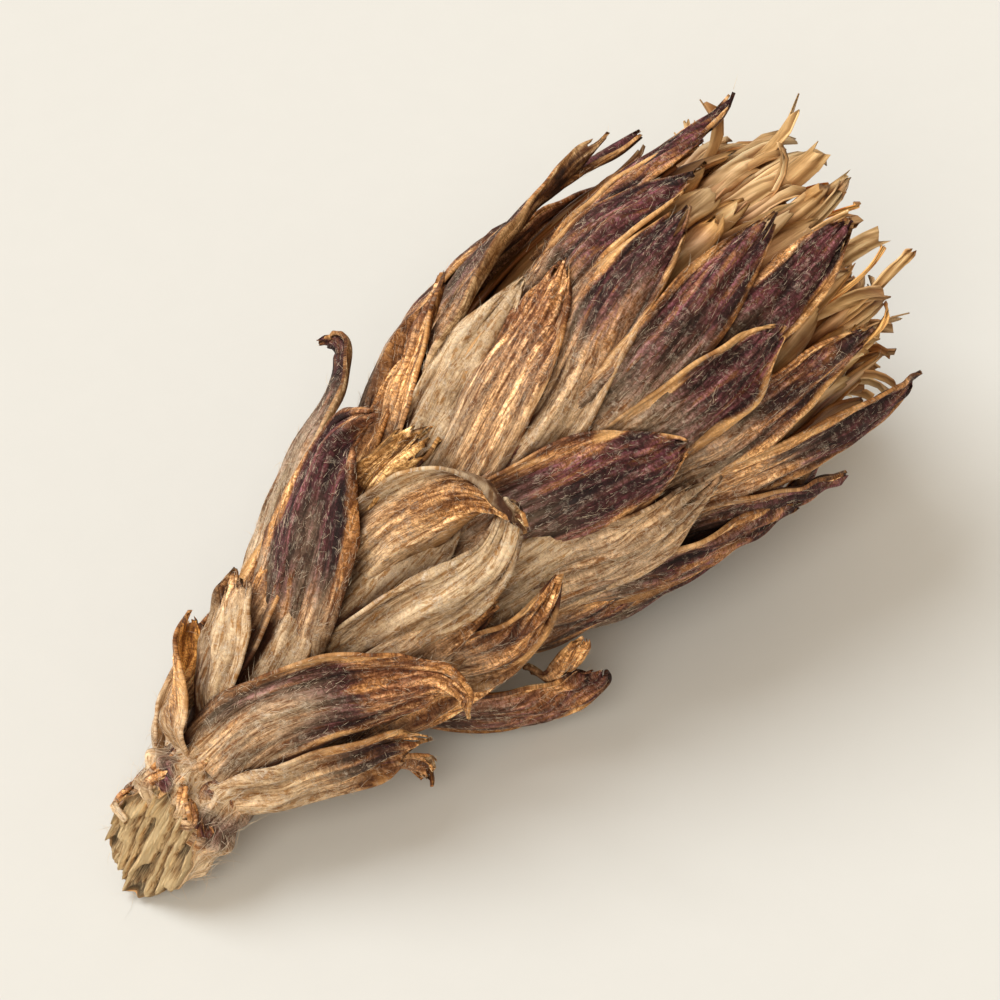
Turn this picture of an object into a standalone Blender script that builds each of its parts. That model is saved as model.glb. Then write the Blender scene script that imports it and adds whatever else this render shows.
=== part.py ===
"""A dried coltsfoot flower bud, lying on its side with its cut stalk at -X and its head at +X.

Every point is found in the bud's own coordinates: a station, which is the distance in
millimetres from the cut end along the bud's gently bent axis, a bearing round that axis
(0 is the upper side, 90 the -Y side), and a radius. A blade is a narrow sheet along a short
route of such points, chosen by hand, and gets its thickness from Solidify.
"""

from collections import namedtuple
from math import cos, pi, radians, sin
from random import Random

import bmesh
import bpy
from mathutils import Vector

# The bud as a whole, in millimetres and degrees
BUD_LENGTH = 25.0
STALK_HEADING = 9.0
HEAD_HEADING = -9.7
TILT = 12.0
CUT_END_CENTRE = (-11.79, -0.71, 1.35)

# Blades, in millimetres
SCALE_THICKNESS = 0.6
FLORET_THICKNESS = 0.6
GROWING_CLEARANCE = 0.32
FLAT_SPOT_DEPTH = 0.12
BELLY_STEP = 0.002
RIPPLE = 0.1
RIPPLES = 2.3

# A blade's half-width at its base and tip, as a share of the widest, and where it is widest
BASE_BREADTH = 0.52
TIP_BREADTH = 0.16
WIDEST_AT = 0.45
TAPER = 1.7

# A blade is flatter at its base: the share of its cup there, and how soon it is full
BASE_CUP = 0.4
CUP_GROWTH = 1.5

# Grid steps across and along a blade
SHOWN_STEPS = (4, 7)
HIDDEN_STEPS = (3, 6)
RAY_STEPS = (1, 6)
DISC_STEPS = (1, 4)

# The stalk: station and radius
STALK_OUTLINE = [
    (0.5, 0.0), (0.2, 0.7), (0.0, 1.1), (0.12, 1.32), (0.6, 1.32),
    (1.2, 1.18), (1.8, 1.0), (6.1, 0.95), (6.1, 0.0),
]
STALK_RIBS = 9
STALK_RIB_DEPTH = 0.05
STALK_SIDES = 36
CUT_SLANT = 0.55
CUT_SLANT_BEARING = 60
CUT_SLANT_REACH = 4.0

# The cup that carries the head's scale leaves, and the two floret cores: station and radius
CUP_OUTLINE = [
    (6.4, 0.0), (6.4, 0.95), (7.3, 1.5), (9.0, 2.3),
    (11.0, 2.85), (12.6, 3.1), (14.0, 3.1), (14.0, 0.0),
]
RING_OUTLINE = [(14.3, 1.65), (14.3, 2.5), (17.2, 2.55), (18.4, 2.35), (18.4, 1.75)]
HEART_OUTLINE = [(14.3, 0.0), (14.3, 1.3), (18.0, 1.35), (20.4, 0.9), (20.9, 0.0)]
CORE_SIDES = 20

# The head's hidden side: outer, middle and inner leaves
HIDDEN_SEED = 11
SWAY = 4
LONGER = 0.8
OUTER_BEARINGS = (128, 154, 183, 212, 240, 268, 294)
OUTER_HALF_WIDTH = 1.2
MIDDLE_BEARINGS = (118, 143, 168, 197, 226, 254, 282, 308)
MIDDLE_HALF_WIDTH = 0.95
INNER_LEAVES = 9
INNER_HALF_WIDTH = 1.25
INNER_TIP = 22.0
INNER_SHORTER_ON_TOP = 2.0
TOP_BEARING = 15

# Florets: stations, radii, degrees and half-widths are drawn between two limits
FLORET_CUP = 0.5
FLORET_SEED = 8
RAY_FLORETS = 20
RAY_TIPS = (22.3, 24.3)
RAY_SPREAD = (1.3, 3.0)
RAY_LEAN = 14
RAY_TWIST = 60
RAY_HALF_WIDTH = (0.3, 0.42)
DISC_FLORETS = 9
DISC_TIPS = (21.2, 22.4)
DISC_SPREAD = (0.5, 0.95)
DISC_LEAN = 10
DISC_HALF_WIDTH = 0.3

# Dried plant colours, linear
STRAW = (0.36, 0.22, 0.09, 1.0)
DRY_BROWN = (0.16, 0.075, 0.04, 1.0)
DUSKY_PURPLE = (0.11, 0.05, 0.075, 1.0)
GOLDEN_TAN = (0.44, 0.26, 0.1, 1.0)
PALE_TAN = (0.5, 0.34, 0.17, 1.0)

Blade = namedtuple("Blade", "route width cup twist thickness", defaults=(0.7, 0.0, SCALE_THICKNESS))

# Scale leaves of the stalk, lowest first. A route's points are station, bearing and radius.
STALK_LEAVES = [
    Blade(
        [(2.0, 20, 1.45), (3.2, 29, 2.3), (4.7, 39, 2.95), (6.2, 49, 3.5), (7.2, 59, 3.85), (7.6, 70, 3.8)],
        width=1.3, cup=0.85,
    ),
    Blade([(2.0, -46, 1.45), (3.0, -48, 1.95), (4.1, -52, 2.4), (5.0, -56, 2.65)], 0.65),
    Blade([(2.0, 96, 1.45), (3.2, 91, 2.0), (4.6, 90, 2.6), (5.8, 96, 3.1), (6.8, 104, 3.2)], 0.85),
    Blade([(2.0, -108, 1.45), (3.4, -106, 2.0), (5.0, -104, 2.7), (6.8, -102, 3.4)], 0.95),
    Blade([(3.4, -13, 1.45), (4.5, -18, 2.3), (5.4, -28, 2.9), (6.1, -38, 3.2)], 0.55),
    Blade([(4.8, 8, 1.45), (5.8, 3, 2.1), (7.5, -6, 3.4), (9.0, -12, 4.0), (10.0, -19, 4.2)], 0.85),
    Blade(
        [(4.7, -39, 1.45), (6.2, -39, 2.35), (8.0, -39, 3.3),
         (10.0, -39, 3.95), (11.2, -43, 4.4), (11.8, -51, 4.6)],
        width=0.65,
    ),
    Blade([(4.2, -153, 1.45), (5.8, -161, 2.1), (7.5, -163, 2.6), (9.4, -159, 3.2)], 0.75),
    Blade([(4.2, 152, 1.45), (5.6, 154, 2.0), (7.2, 158, 2.6), (8.8, 153, 3.15)], 0.75),
    Blade(
        [(5.4, 43, 1.45), (6.4, 43, 2.1), (7.5, 43, 2.85), (8.8, 46, 3.75), (9.8, 46, 4.3), (10.5, 43, 4.7)],
        width=0.8,
    ),
    Blade(
        [(6.2, -2, 1.42), (7.7, 2, 2.2), (9.3, 16, 3.43), (10.6, 26, 4.4), (11.3, 33, 4.8), (11.6, 40, 4.6)],
        width=1.05, cup=0.6,
    ),
    Blade([(6.2, 81, 1.5), (7.4, 80, 2.2), (8.7, 77, 3.5), (10.0, 70, 4.25), (11.0, 62, 4.8)], 0.85),
    Blade([(6.0, 121, 1.45), (7.4, 119, 2.4), (9.0, 115, 3.45), (10.2, 113, 4.05), (11.0, 108, 4.5)], 0.8),
    Blade([(6.2, -69, 1.5), (7.8, -69, 2.35), (9.5, -73, 3.6), (11.2, -76, 4.45)], 0.95),
    Blade(
        [(5.6, -117, 1.45), (6.8, -116, 2.2), (8.2, -116, 2.95), (10.0, -117, 3.85), (11.8, -118, 4.6)],
        width=0.95,
    ),
]

# Scale leaves of the head on the side that faces up and to -Y
HEAD_LEAVES = [
    Blade([(8.6, 14, 1.9), (10.4, 14, 2.95), (13.0, 6, 4.25), (14.8, 0, 4.5), (16.0, -6, 4.7)], 1.25),
    Blade([(8.5, -24, 2.0), (10.2, -24, 2.95), (12.3, -30, 4.0), (14.5, -44, 4.7)], 0.8),
    Blade([(8.8, -6, 1.95), (10.9, -8, 3.0), (12.8, -14, 3.8), (14.5, -20, 4.3)], 0.6),
    Blade([(8.8, 48, 1.9), (10.2, 46, 2.8), (12.5, 50, 4.3), (14.2, 54, 4.75), (15.3, 56, 5.0)], 1.6, 0.8),
    Blade([(9.0, 76, 2.2), (11.3, 73, 3.6), (13.2, 74, 4.5), (15.5, 70, 4.9)], 0.9),
    Blade([(8.5, 92, 2.0), (10.6, 86, 3.3), (13.7, 95, 4.5), (16.0, 103, 4.8), (17.7, 108, 4.9)], 1.0),
    Blade([(11.5, 90, 2.8), (15.2, 88, 4.3), (17.5, 100, 4.75), (19.2, 112, 4.9)], 0.85),
    Blade([(12.0, 84, 2.9), (15.4, 80, 4.25), (18.6, 88, 4.7), (21.0, 96, 4.5), (22.4, 100, 4.2)], 0.85),
    Blade([(12.0, 64, 2.9), (15.7, 66, 4.4), (18.2, 66, 4.75), (21.2, 67, 4.6)], 0.85),
    Blade([(11.0, 46, 2.7), (14.5, 48, 4.2), (16.8, 48, 4.8), (19.0, 47, 4.9)], 0.95),
    Blade([(13.0, 44, 2.9), (16.5, 44, 4.0), (18.5, 43, 4.5), (20.1, 41, 4.45), (22.3, 37, 4.0)], 0.8),
    Blade([(10.5, 38, 2.6), (13.9, 36, 4.1), (17.1, 31, 4.75), (20.7, 22, 4.5)], 1.05),
    Blade([(10.0, 28, 2.5), (13.0, 26, 3.9), (16.0, 13, 4.6), (19.2, 5, 4.7)], 0.95),
    Blade([(11.0, -4, 2.7), (14.7, -7, 4.1), (17.4, -9, 4.6), (19.9, -3, 4.6)], 0.85),
    Blade([(9.5, -32, 2.3), (13.2, -26, 4.1), (16.8, -38, 4.7), (19.7, -45, 4.8)], 0.8),
    Blade([(11.0, -16, 2.7), (14.6, -12, 3.8), (18.0, -18, 4.45), (21.4, -20, 4.2)], 0.7),
    Blade([(13.0, -32, 2.9), (17.0, -27, 4.0), (20.0, -28, 4.3), (22.2, -30, 4.0)], 0.7),
]


def millimetres(point):
    return Vector(point) * 0.001


def along_axis(station):
    """The axis's centre and its three directions at a station, in millimetres."""
    first = radians(STALK_HEADING)
    bend = radians(HEAD_HEADING - STALK_HEADING) / BUD_LENGTH
    heading = first + bend * station
    tilt = radians(TILT)
    forward = Vector((cos(heading) * cos(tilt), sin(heading) * cos(tilt), sin(tilt)))
    side = Vector((-sin(heading), cos(heading), 0.0))
    run = Vector((sin(heading) - sin(first), cos(first) - cos(heading), 0.0)) * (cos(tilt) / bend)
    centre = Vector(CUT_END_CENTRE) + run + Vector((0.0, 0.0, station * sin(tilt)))
    return centre, forward, side, forward.cross(side)


def on_bud(station, bearing, radius):
    """The point at a station, a bearing in degrees and a radius, in millimetres."""
    centre, _, side, up = along_axis(station)
    angle = radians(bearing)
    return centre + radius * (cos(angle) * up - sin(angle) * side)


def between(knots, t):
    """A smooth curve through the knots, at t from 0 to 1."""
    place = t * (len(knots) - 1)
    index = min(int(place), len(knots) - 2)
    f = place - index
    near, far = Vector(knots[index]), Vector(knots[index + 1])
    before = Vector(knots[index - 1]) if index else 2 * near - far
    after = Vector(knots[index + 2]) if index + 2 < len(knots) else 2 * far - near
    return 0.5 * (
        2 * near
        + (far - before) * f
        + (2 * before - 5 * near + 4 * far - after) * f**2
        + (3 * near - before - 3 * far + after) * f**3
    )


def breadth(t):
    """Half the blade's width along its length, as a share of the widest: clasping base, pointed tip."""
    if t < WIDEST_AT:
        return BASE_BREADTH + (1 - BASE_BREADTH) * sin(t / WIDEST_AT * pi / 2)
    return TIP_BREADTH + (1 - TIP_BREADTH) * (1 - ((t - WIDEST_AT) / (1 - WIDEST_AT)) ** TAPER)


def blade_point(blade, across, t, phase):
    """A point of the blade's middle surface; across runs from -1 to 1."""
    step = 0.02
    here = on_bud(*between(blade.route, t))
    ahead = on_bud(*between(blade.route, min(t + step, 1.0)))
    behind = on_bud(*between(blade.route, max(t - step, 0.0)))
    forward = (ahead - behind).normalized()
    station, bearing, _ = between(blade.route, t)
    round_axis = on_bud(station, bearing + 90, 1.0) - on_bud(station, bearing, 0.0)
    side = (round_axis - round_axis.dot(forward) * forward).normalized()
    out = side.cross(forward)
    turn = radians(blade.twist) * t
    side, out = side * cos(turn) + out * sin(turn), out * cos(turn) - side * sin(turn)
    half = blade.width * breadth(t)
    cup = blade.cup * min(1.0, BASE_CUP + CUP_GROWTH * t)
    angle = across * cup
    bend_radius = half / cup
    ripple = RIPPLE * across**2 * sin(2 * pi * RIPPLES * t + phase)
    return here + side * bend_radius * sin(angle) + out * (bend_radius * (cos(angle) - 1) + ripple)


def blade_object(name, blade, phase, lowest, collection, steps):
    """One blade: a grid bent along its route, kept above the surface it lies on, then made solid."""
    sheet = bmesh.new()
    bmesh.ops.create_grid(sheet, x_segments=steps[0], y_segments=steps[1], size=1.0)
    bmesh.ops.triangulate(sheet, faces=sheet.faces)
    for vert in sheet.verts:
        point = blade_point(blade, vert.co.x, (vert.co.y + 1) / 2, phase)
        point.z = max(point.z, lowest)
        vert.co = millimetres(point)
    mesh = bpy.data.meshes.new(name)
    sheet.to_mesh(mesh)
    sheet.free()
    obj = bpy.data.objects.new(name, mesh)
    solid = obj.modifiers.new("thickness", "SOLIDIFY")
    solid.thickness = blade.thickness * 0.001
    solid.offset = 0.0
    collection.objects.link(obj)
    return obj


def turned(name, outline, sides, shape=None):
    """A solid turned round the bud's axis from stations and radii; shape may move each point."""
    form = bmesh.new()
    closed = outline[0][1] > 0
    rings = []
    for station, radius in outline:
        points = []
        for side in range(sides):
            bearing = 360.0 * side / sides
            place = shape(station, bearing, radius) if shape else (station, bearing, radius)
            points.append(form.verts.new(millimetres(on_bud(*place))))
        rings.append(points)
    pairs = list(zip(rings, rings[1:] + rings[:1])) if closed else list(zip(rings, rings[1:]))
    for ring, after in pairs:
        for side in range(sides):
            nxt = (side + 1) % sides
            form.faces.new((ring[side], ring[nxt], after[nxt], after[side]))
    bmesh.ops.remove_doubles(form, verts=form.verts, dist=1e-6)
    bmesh.ops.triangulate(form, faces=form.faces)
    bmesh.ops.recalc_face_normals(form, faces=form.faces)
    mesh = bpy.data.meshes.new(name)
    form.to_mesh(mesh)
    form.free()
    obj = bpy.data.objects.new(name, mesh)
    bpy.context.scene.collection.objects.link(obj)
    return obj


def apply_modifiers(obj):
    """The object's mesh as its modifiers leave it."""
    graph = bpy.context.evaluated_depsgraph_get()
    mesh = bpy.data.meshes.new_from_object(obj.evaluated_get(graph))
    obj.modifiers.clear()
    obj.data = mesh
    mesh.name = obj.name


def fuse(base, repeats):
    """Joins the collection's blades to the base by one union, and removes them."""
    union = base.modifiers.new("grown_together", "BOOLEAN")
    union.operation = "UNION"
    union.solver = "MANIFOLD"
    union.operand_type = "COLLECTION"
    union.collection = repeats
    apply_modifiers(base)
    for obj in list(repeats.objects):
        bpy.data.objects.remove(obj)
    bpy.data.collections.remove(repeats)
    fill_sealed_hollows(base)


def trim_at_surface(obj):
    """Cuts a small flat spot where the bud lies on the surface, at height 0."""
    form = bmesh.new()
    bmesh.ops.create_cube(form, size=BUD_LENGTH * 0.002)
    bmesh.ops.translate(form, verts=form.verts, vec=(0, 0, -BUD_LENGTH * 0.001))
    mesh = bpy.data.meshes.new("surface")
    form.to_mesh(mesh)
    form.free()
    surface = bpy.data.objects.new("surface", mesh)
    surface.hide_render = True
    surface.display_type = "WIRE"
    bpy.context.scene.collection.objects.link(surface)
    trim = obj.modifiers.new("flat_spot", "BOOLEAN")
    trim.operation = "DIFFERENCE"
    trim.solver = "MANIFOLD"
    trim.object = surface
    apply_modifiers(obj)
    bpy.data.objects.remove(surface)


def fill_sealed_hollows(obj):
    """Removes the inner shells that fusing leaves, so that only the outer one stays."""
    form = bmesh.new()
    form.from_mesh(obj.data)
    bmesh.ops.triangulate(form, faces=form.faces)
    shells = []
    left = set(form.faces)
    while left:
        shell, front = set(), [left.pop()]
        while front:
            face = front.pop()
            shell.add(face)
            walls = [edge for edge in face.edges if len(edge.link_faces) == 2]
            near = {other for edge in walls for other in edge.link_faces} & left
            left -= near
            front.extend(near)
        shells.append(shell)
    shells.sort(key=len)
    for shell in shells[:-1]:
        bmesh.ops.delete(form, geom=list(shell), context="FACES")
    form.to_mesh(obj.data)
    form.free()


def dried(name, colour, roughness):
    material = bpy.data.materials.new(name)
    material.use_nodes = True
    shader = material.node_tree.nodes["Principled BSDF"]
    shader.inputs["Base Color"].default_value = colour
    shader.inputs["Roughness"].default_value = roughness
    shader.inputs["Metallic"].default_value = 0.0
    return material


def finish(obj, material):
    obj.data.materials.clear()
    obj.data.materials.append(material)
    obj.data.shade_smooth()
    obj.data.set_sharp_from_angle(angle=radians(50))


def new_group(name):
    group = bpy.data.collections.new(name)
    bpy.context.scene.collection.children.link(group)
    return group


def stalk():
    """The flower stalk, ribbed lengthwise, with its cut end slanted and hollowed at the pith."""

    def ribbed(station, bearing, radius):
        fade = max(0.0, 1 - station / CUT_SLANT_REACH)
        rib = 1 + STALK_RIB_DEPTH * cos(radians(bearing * STALK_RIBS))
        slant = CUT_SLANT * fade**3 * cos(radians(bearing - CUT_SLANT_BEARING)) * radius
        return station + slant, bearing, radius * rib

    obj = turned("stalk", STALK_OUTLINE, STALK_SIDES, ribbed)
    trim_at_surface(obj)
    finish(obj, dried("dry_straw", STRAW, 0.85))


def stalk_leaves():
    """The scale leaves of the stalk, each a piece of its own that clasps it."""
    material = dried("dry_brown_leaf", DRY_BROWN, 0.8)
    scene = bpy.context.scene.collection
    for number, blade in enumerate(STALK_LEAVES):
        name = f"scale_leaf_{number + 1:02d}"
        obj = blade_object(name, blade, number * 1.7, GROWING_CLEARANCE, scene, SHOWN_STEPS)
        apply_modifiers(obj)
        finish(obj, material)


def hidden_head_leaves():
    """Leaves for the side of the head that faces down and to +Y, and the inner ring round the florets."""
    draw = Random(HIDDEN_SEED)
    leaves = []
    for bearing in OUTER_BEARINGS:
        b, longer = bearing + draw.uniform(-SWAY, SWAY), draw.uniform(-LONGER, LONGER)
        tip = 17.0 + longer
        route = [(8.6, b, 1.9), (10.6, b, 2.95), (13.0, b + 2, 4.2), (15.4, b + 2, 4.65), (tip, b, 4.75)]
        leaves.append(Blade(route, OUTER_HALF_WIDTH))
    for bearing in MIDDLE_BEARINGS:
        b, longer = bearing + draw.uniform(-SWAY, SWAY), draw.uniform(-LONGER, LONGER)
        route = [(11.0, b, 2.7), (14.4, b, 4.1), (17.6, b, 4.6), (20.4 + longer, b, 4.35)]
        leaves.append(Blade(route, MIDDLE_HALF_WIDTH))
    for number in range(INNER_LEAVES):
        b = 360 * number / INNER_LEAVES + draw.uniform(-5, 5)
        top = max(0.0, cos(radians(b - TOP_BEARING)))
        tip = INNER_TIP - INNER_SHORTER_ON_TOP * top + draw.uniform(-0.3, 0.3)
        route = [(12.4, b, 2.9), (15.0, b, 3.35), (18.4, b, 3.6), (tip, b, 3.45)]
        leaves.append(Blade(route, INNER_HALF_WIDTH))
    return leaves


def involucre():
    """The head's cup with all its scale leaves grown to it."""
    group = new_group("head_leaves")
    for number, blade in enumerate(HEAD_LEAVES + hidden_head_leaves()):
        lowest = SCALE_THICKNESS / 2 - FLAT_SPOT_DEPTH + BELLY_STEP * number
        steps = SHOWN_STEPS if number < len(HEAD_LEAVES) else HIDDEN_STEPS
        blade_object(f"head_leaf_{number:02d}", blade, number * 1.3, lowest, group, steps)
    cup = turned("involucre", CUP_OUTLINE, CORE_SIDES)
    fuse(cup, group)
    trim_at_surface(cup)
    fill_sealed_hollows(cup)
    finish(cup, dried("dusky_purple_leaf", DUSKY_PURPLE, 0.8))


def ray_florets():
    """The straps of the ray florets, shrivelled and bent, on the ring that they grow from."""
    draw = Random(FLORET_SEED)
    group = new_group("ray_straps")
    for number in range(RAY_FLORETS):
        b = 360 * number / RAY_FLORETS + draw.uniform(-SWAY, SWAY)
        lean = draw.uniform(-RAY_LEAN, RAY_LEAN)
        spread = draw.uniform(*RAY_SPREAD)
        tip = draw.uniform(*RAY_TIPS)
        route = [(16.6, b, 2.05), (18.8, b, 2.25), (20.9, b + lean / 2, 2.4), (tip, b + lean, spread)]
        half_width = draw.uniform(*RAY_HALF_WIDTH)
        twist = draw.uniform(-RAY_TWIST, RAY_TWIST)
        blade = Blade(route, half_width, FLORET_CUP, twist, FLORET_THICKNESS)
        blade_object(f"ray_{number:02d}", blade, number, GROWING_CLEARANCE, group, RAY_STEPS)
    ring = turned("ray_florets", RING_OUTLINE, CORE_SIDES)
    fuse(ring, group)
    finish(ring, dried("golden_tan_strap", GOLDEN_TAN, 0.75))


def disc_florets():
    """The bundle of tubular florets in the middle of the head."""
    draw = Random(FLORET_SEED + 1)
    group = new_group("disc_tubes")
    for number in range(DISC_FLORETS):
        b = 360 * number / DISC_FLORETS
        tip = draw.uniform(*DISC_TIPS)
        lean = draw.uniform(-DISC_LEAN, DISC_LEAN)
        route = [(18.0, b, 0.75), (19.6, b, 0.85), (tip, b + lean, draw.uniform(*DISC_SPREAD))]
        blade = Blade(route, DISC_HALF_WIDTH, FLORET_CUP, 0.0, FLORET_THICKNESS)
        blade_object(f"disc_{number:02d}", blade, number, GROWING_CLEARANCE, group, DISC_STEPS)
    heart = turned("disc_florets", HEART_OUTLINE, CORE_SIDES)
    fuse(heart, group)
    finish(heart, dried("pale_tan_tube", PALE_TAN, 0.75))


def main():
    for obj in list(bpy.data.objects):
        bpy.data.objects.remove(obj)
    stalk()
    stalk_leaves()
    involucre()
    ray_florets()
    disc_florets()


main()
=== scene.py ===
# %% [markdown]
# # A dried coltsfoot flower bud
#
# The bud lies on its side on a pale surface. Its cut stalk points to -X and its head to +X.
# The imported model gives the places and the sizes. This script replaces its plain solids with
# thin, ribbed, hairy leaves, shrivelled florets and a torn stalk end, piece by piece.

# %% Load the frame
from collections import namedtuple
from math import cos, pi, radians, sin
from random import Random

import bmesh
import bpy
import numpy as np
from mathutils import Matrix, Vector
from mathutils.bvhtree import BVHTree


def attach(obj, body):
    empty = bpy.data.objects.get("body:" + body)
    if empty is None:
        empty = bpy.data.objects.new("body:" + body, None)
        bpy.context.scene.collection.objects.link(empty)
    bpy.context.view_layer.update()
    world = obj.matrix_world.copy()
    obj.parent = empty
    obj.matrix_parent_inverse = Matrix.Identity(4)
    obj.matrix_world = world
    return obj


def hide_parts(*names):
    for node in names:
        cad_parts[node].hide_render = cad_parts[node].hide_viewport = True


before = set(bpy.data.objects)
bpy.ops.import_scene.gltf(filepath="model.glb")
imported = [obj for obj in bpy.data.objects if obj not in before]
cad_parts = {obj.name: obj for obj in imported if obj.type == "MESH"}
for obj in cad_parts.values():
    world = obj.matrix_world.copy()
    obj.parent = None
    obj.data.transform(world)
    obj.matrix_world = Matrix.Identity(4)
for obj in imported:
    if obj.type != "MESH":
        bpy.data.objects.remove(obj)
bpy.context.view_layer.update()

MM = 0.001
BODY = "root"

# %% [markdown]
# ## The bud's own coordinates
#
# Every piece is placed by a station (millimetres from the cut end along the gently bent axis),
# a bearing round the axis (0 is the upper side, 90 faces -Y) and a radius. The solids were made
# in the same coordinates, so each finer piece lies where its solid lies. Here the functions take
# whole arrays, because a leaf has thousands of points.

# %% Axis of the bud
BUD_LENGTH = 25.0
STALK_HEADING = 9.0
HEAD_HEADING = -9.7
TILT = 12.0
CUT_END_CENTRE = (-11.79, -0.71, 1.35)


def on_bud(station, bearing, radius):
    """Points at stations, bearings in degrees and radii, in millimetres."""
    station, bearing, radius = np.broadcast_arrays(station, np.radians(bearing), radius)
    first = radians(STALK_HEADING)
    bend = radians(HEAD_HEADING - STALK_HEADING) / BUD_LENGTH
    heading = first + bend * station
    flat = cos(radians(TILT))
    rise = sin(radians(TILT))
    level = np.zeros_like(heading)
    side = np.stack([-np.sin(heading), np.cos(heading), level], -1)
    up = np.stack([-rise * np.cos(heading), -rise * np.sin(heading), level + flat], -1)
    run = np.stack([np.sin(heading) - sin(first), cos(first) - np.cos(heading), level], -1)
    climb = np.stack([level, level, station * rise], -1)
    centre = np.array(CUT_END_CENTRE) + run * flat / bend + climb
    outwards = np.cos(bearing)[..., None] * up - np.sin(bearing)[..., None] * side
    return centre + radius[..., None] * outwards


print("the mouth's centre in mm:", on_bud(BUD_LENGTH, 0, 0).round(2).tolist())

# %% [markdown]
# Four small helpers shape everything that follows: a curve through a few knots, a soft step, a
# random but repeatable height field, and vectors of length 1.


# %% Curves, steps and waves
def through(knots, t):
    """A smooth curve through the knots, at each t from 0 to 1."""
    knots = np.array(knots, float)
    ends = np.vstack([2 * knots[0] - knots[1], knots, 2 * knots[-1] - knots[-2]])
    place = np.clip(t, 0, 1) * (len(knots) - 1)
    index = np.minimum(place.astype(int), len(knots) - 2)
    f = (place - index)[:, None]
    before, near, far, after = (ends[index + k] for k in range(4))
    return 0.5 * (
        2 * near
        + (far - before) * f
        + (2 * before - 5 * near + 4 * far - after) * f**2
        + (3 * near - before - 3 * far + after) * f**3
    )


def smooth(low, high, x):
    """0 below low, 1 above high, and a soft step between."""
    t = np.clip((x - low) / (high - low), 0, 1)
    return t * t * (3 - 2 * t)


def waves(x, y, seed, count=7):
    """A soft random height between about -1 and 1, made of a few crossing waves."""
    draw = Random(seed)
    height = 0
    for _ in range(count):
        angle = draw.uniform(0, 2 * pi)
        pace = draw.uniform(0.6, 2.0)
        start = draw.uniform(0, 2 * pi)
        height = height + np.sin(pace * (x * cos(angle) + y * sin(angle)) * 2 * pi + start)
    return height / count**0.5 / 1.4


def unit(vectors):
    """The vectors, each with length 1."""
    return vectors / np.maximum(np.linalg.norm(vectors, axis=-1, keepdims=True), 1e-9)


print("waves at three places:", [round(float(waves(x, 0, 1)), 2) for x in (0.0, 0.5, 1.0)])

# %% [markdown]
# ## Camera, light and floor
#
# The camera looks down at 48 degrees with a long lens, as one does at a small thing on a table.
# A large soft lamp stands behind the bud on the left, so its shadow falls to the front right, a
# weaker and warmer one stands in front, and the sky fills the rest. The floor is plain pale paper.

# %% Camera
CAMERA_ELEVATION = 48.0
CAMERA_TURN = 43.7
CAMERA_DISTANCE = 79.4 * MM
CAMERA_LENS = 120.0
CAMERA_TARGET = Vector((0.08, -0.15, 4.0)) * MM
SENSOR_WIDTH = 36.0
NEAREST_SEEN = 0.001
UP = Vector((0.0, 0.0, 1.0))


def place_object(name, data):
    """A new object in the scene."""
    thing = bpy.data.objects.new(name, data)
    bpy.context.scene.collection.objects.link(thing)
    return thing


away = Vector((sin(radians(CAMERA_TURN)), cos(radians(CAMERA_TURN)), 0.0))
looking = away * cos(radians(CAMERA_ELEVATION)) - UP * sin(radians(CAMERA_ELEVATION))
lens = bpy.data.cameras.new("camera")
lens.lens = CAMERA_LENS
lens.sensor_width = SENSOR_WIDTH
lens.clip_start = NEAREST_SEEN
camera = place_object("camera", lens)
camera.location = CAMERA_TARGET - looking * CAMERA_DISTANCE
camera.rotation_euler = looking.to_track_quat("-Z", "Y").to_euler()
bpy.context.scene.camera = camera
bpy.context.scene.view_settings.view_transform = "Standard"
print("camera at, in mm:", [round(x / MM, 1) for x in camera.location])

# %% Lamps and sky
LAMPS = (
    ("key_lamp", (-0.22, 0.56, 0.80), 2.05, (0.98, 0.99, 1.0)),
    ("front_lamp", (-0.75, -0.45, 0.90), 1.3, (1.0, 0.93, 0.83)),
)
LAMP_SOFTNESS = 40.0
LAMP_DISTANCE = 0.1
SKY_COLOUR = (1.0, 0.82, 0.64, 1.0)
SKY_STRENGTH = 0.47

for name, towards, strength, colour in LAMPS:
    lamp = bpy.data.lights.new(name, "SUN")
    lamp.angle = radians(LAMP_SOFTNESS)
    lamp.energy = strength
    lamp.color = colour
    stand = place_object(name, lamp)
    stand.location = LAMP_DISTANCE * Vector(towards)
    stand.rotation_euler = Vector(towards).to_track_quat("Z", "Y").to_euler()
sky = bpy.data.worlds.new("sky")
sky.use_nodes = True
backdrop = sky.node_tree.nodes["Background"].inputs
backdrop["Color"].default_value = SKY_COLOUR
backdrop["Strength"].default_value = SKY_STRENGTH
bpy.context.scene.world = sky
print("lamps:", len(LAMPS))

# %% [markdown]
# ### Helpers for materials
#
# A material is a tree of nodes. These helpers add one node with its values and links in one line,
# and each gives back the socket that the next one reads, so a material reads from top to bottom.


# %% Small helpers for nodes
def add(tree, kind, settings=None, **inputs):
    """A node of this kind. Settings are its own options; inputs are values or sockets, by name."""
    node = tree.nodes.new(kind)
    for name, value in (settings or {}).items():
        setattr(node, name, value)
    for name, value in inputs.items():
        socket = node.inputs[int(name[1:])] if name[0] == "_" else node.inputs[name.replace("_", " ")]
        if isinstance(value, bpy.types.NodeSocket):
            tree.links.new(value, socket)
        else:
            socket.default_value = value
    return node


def maths(tree, operation, *values):
    inputs = {f"_{place}": value for place, value in enumerate(values)}
    return add(tree, "ShaderNodeMath", {"operation": operation}, **inputs).outputs[0]


def times(tree, first, second):
    return maths(tree, "MULTIPLY", first, second)


def shifted(tree, value, mask, share):
    """The value, moved up and down by a mask whose middle is a half."""
    return maths(tree, "ADD", value, times(tree, maths(tree, "SUBTRACT", mask, 0.5), share))


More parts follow.
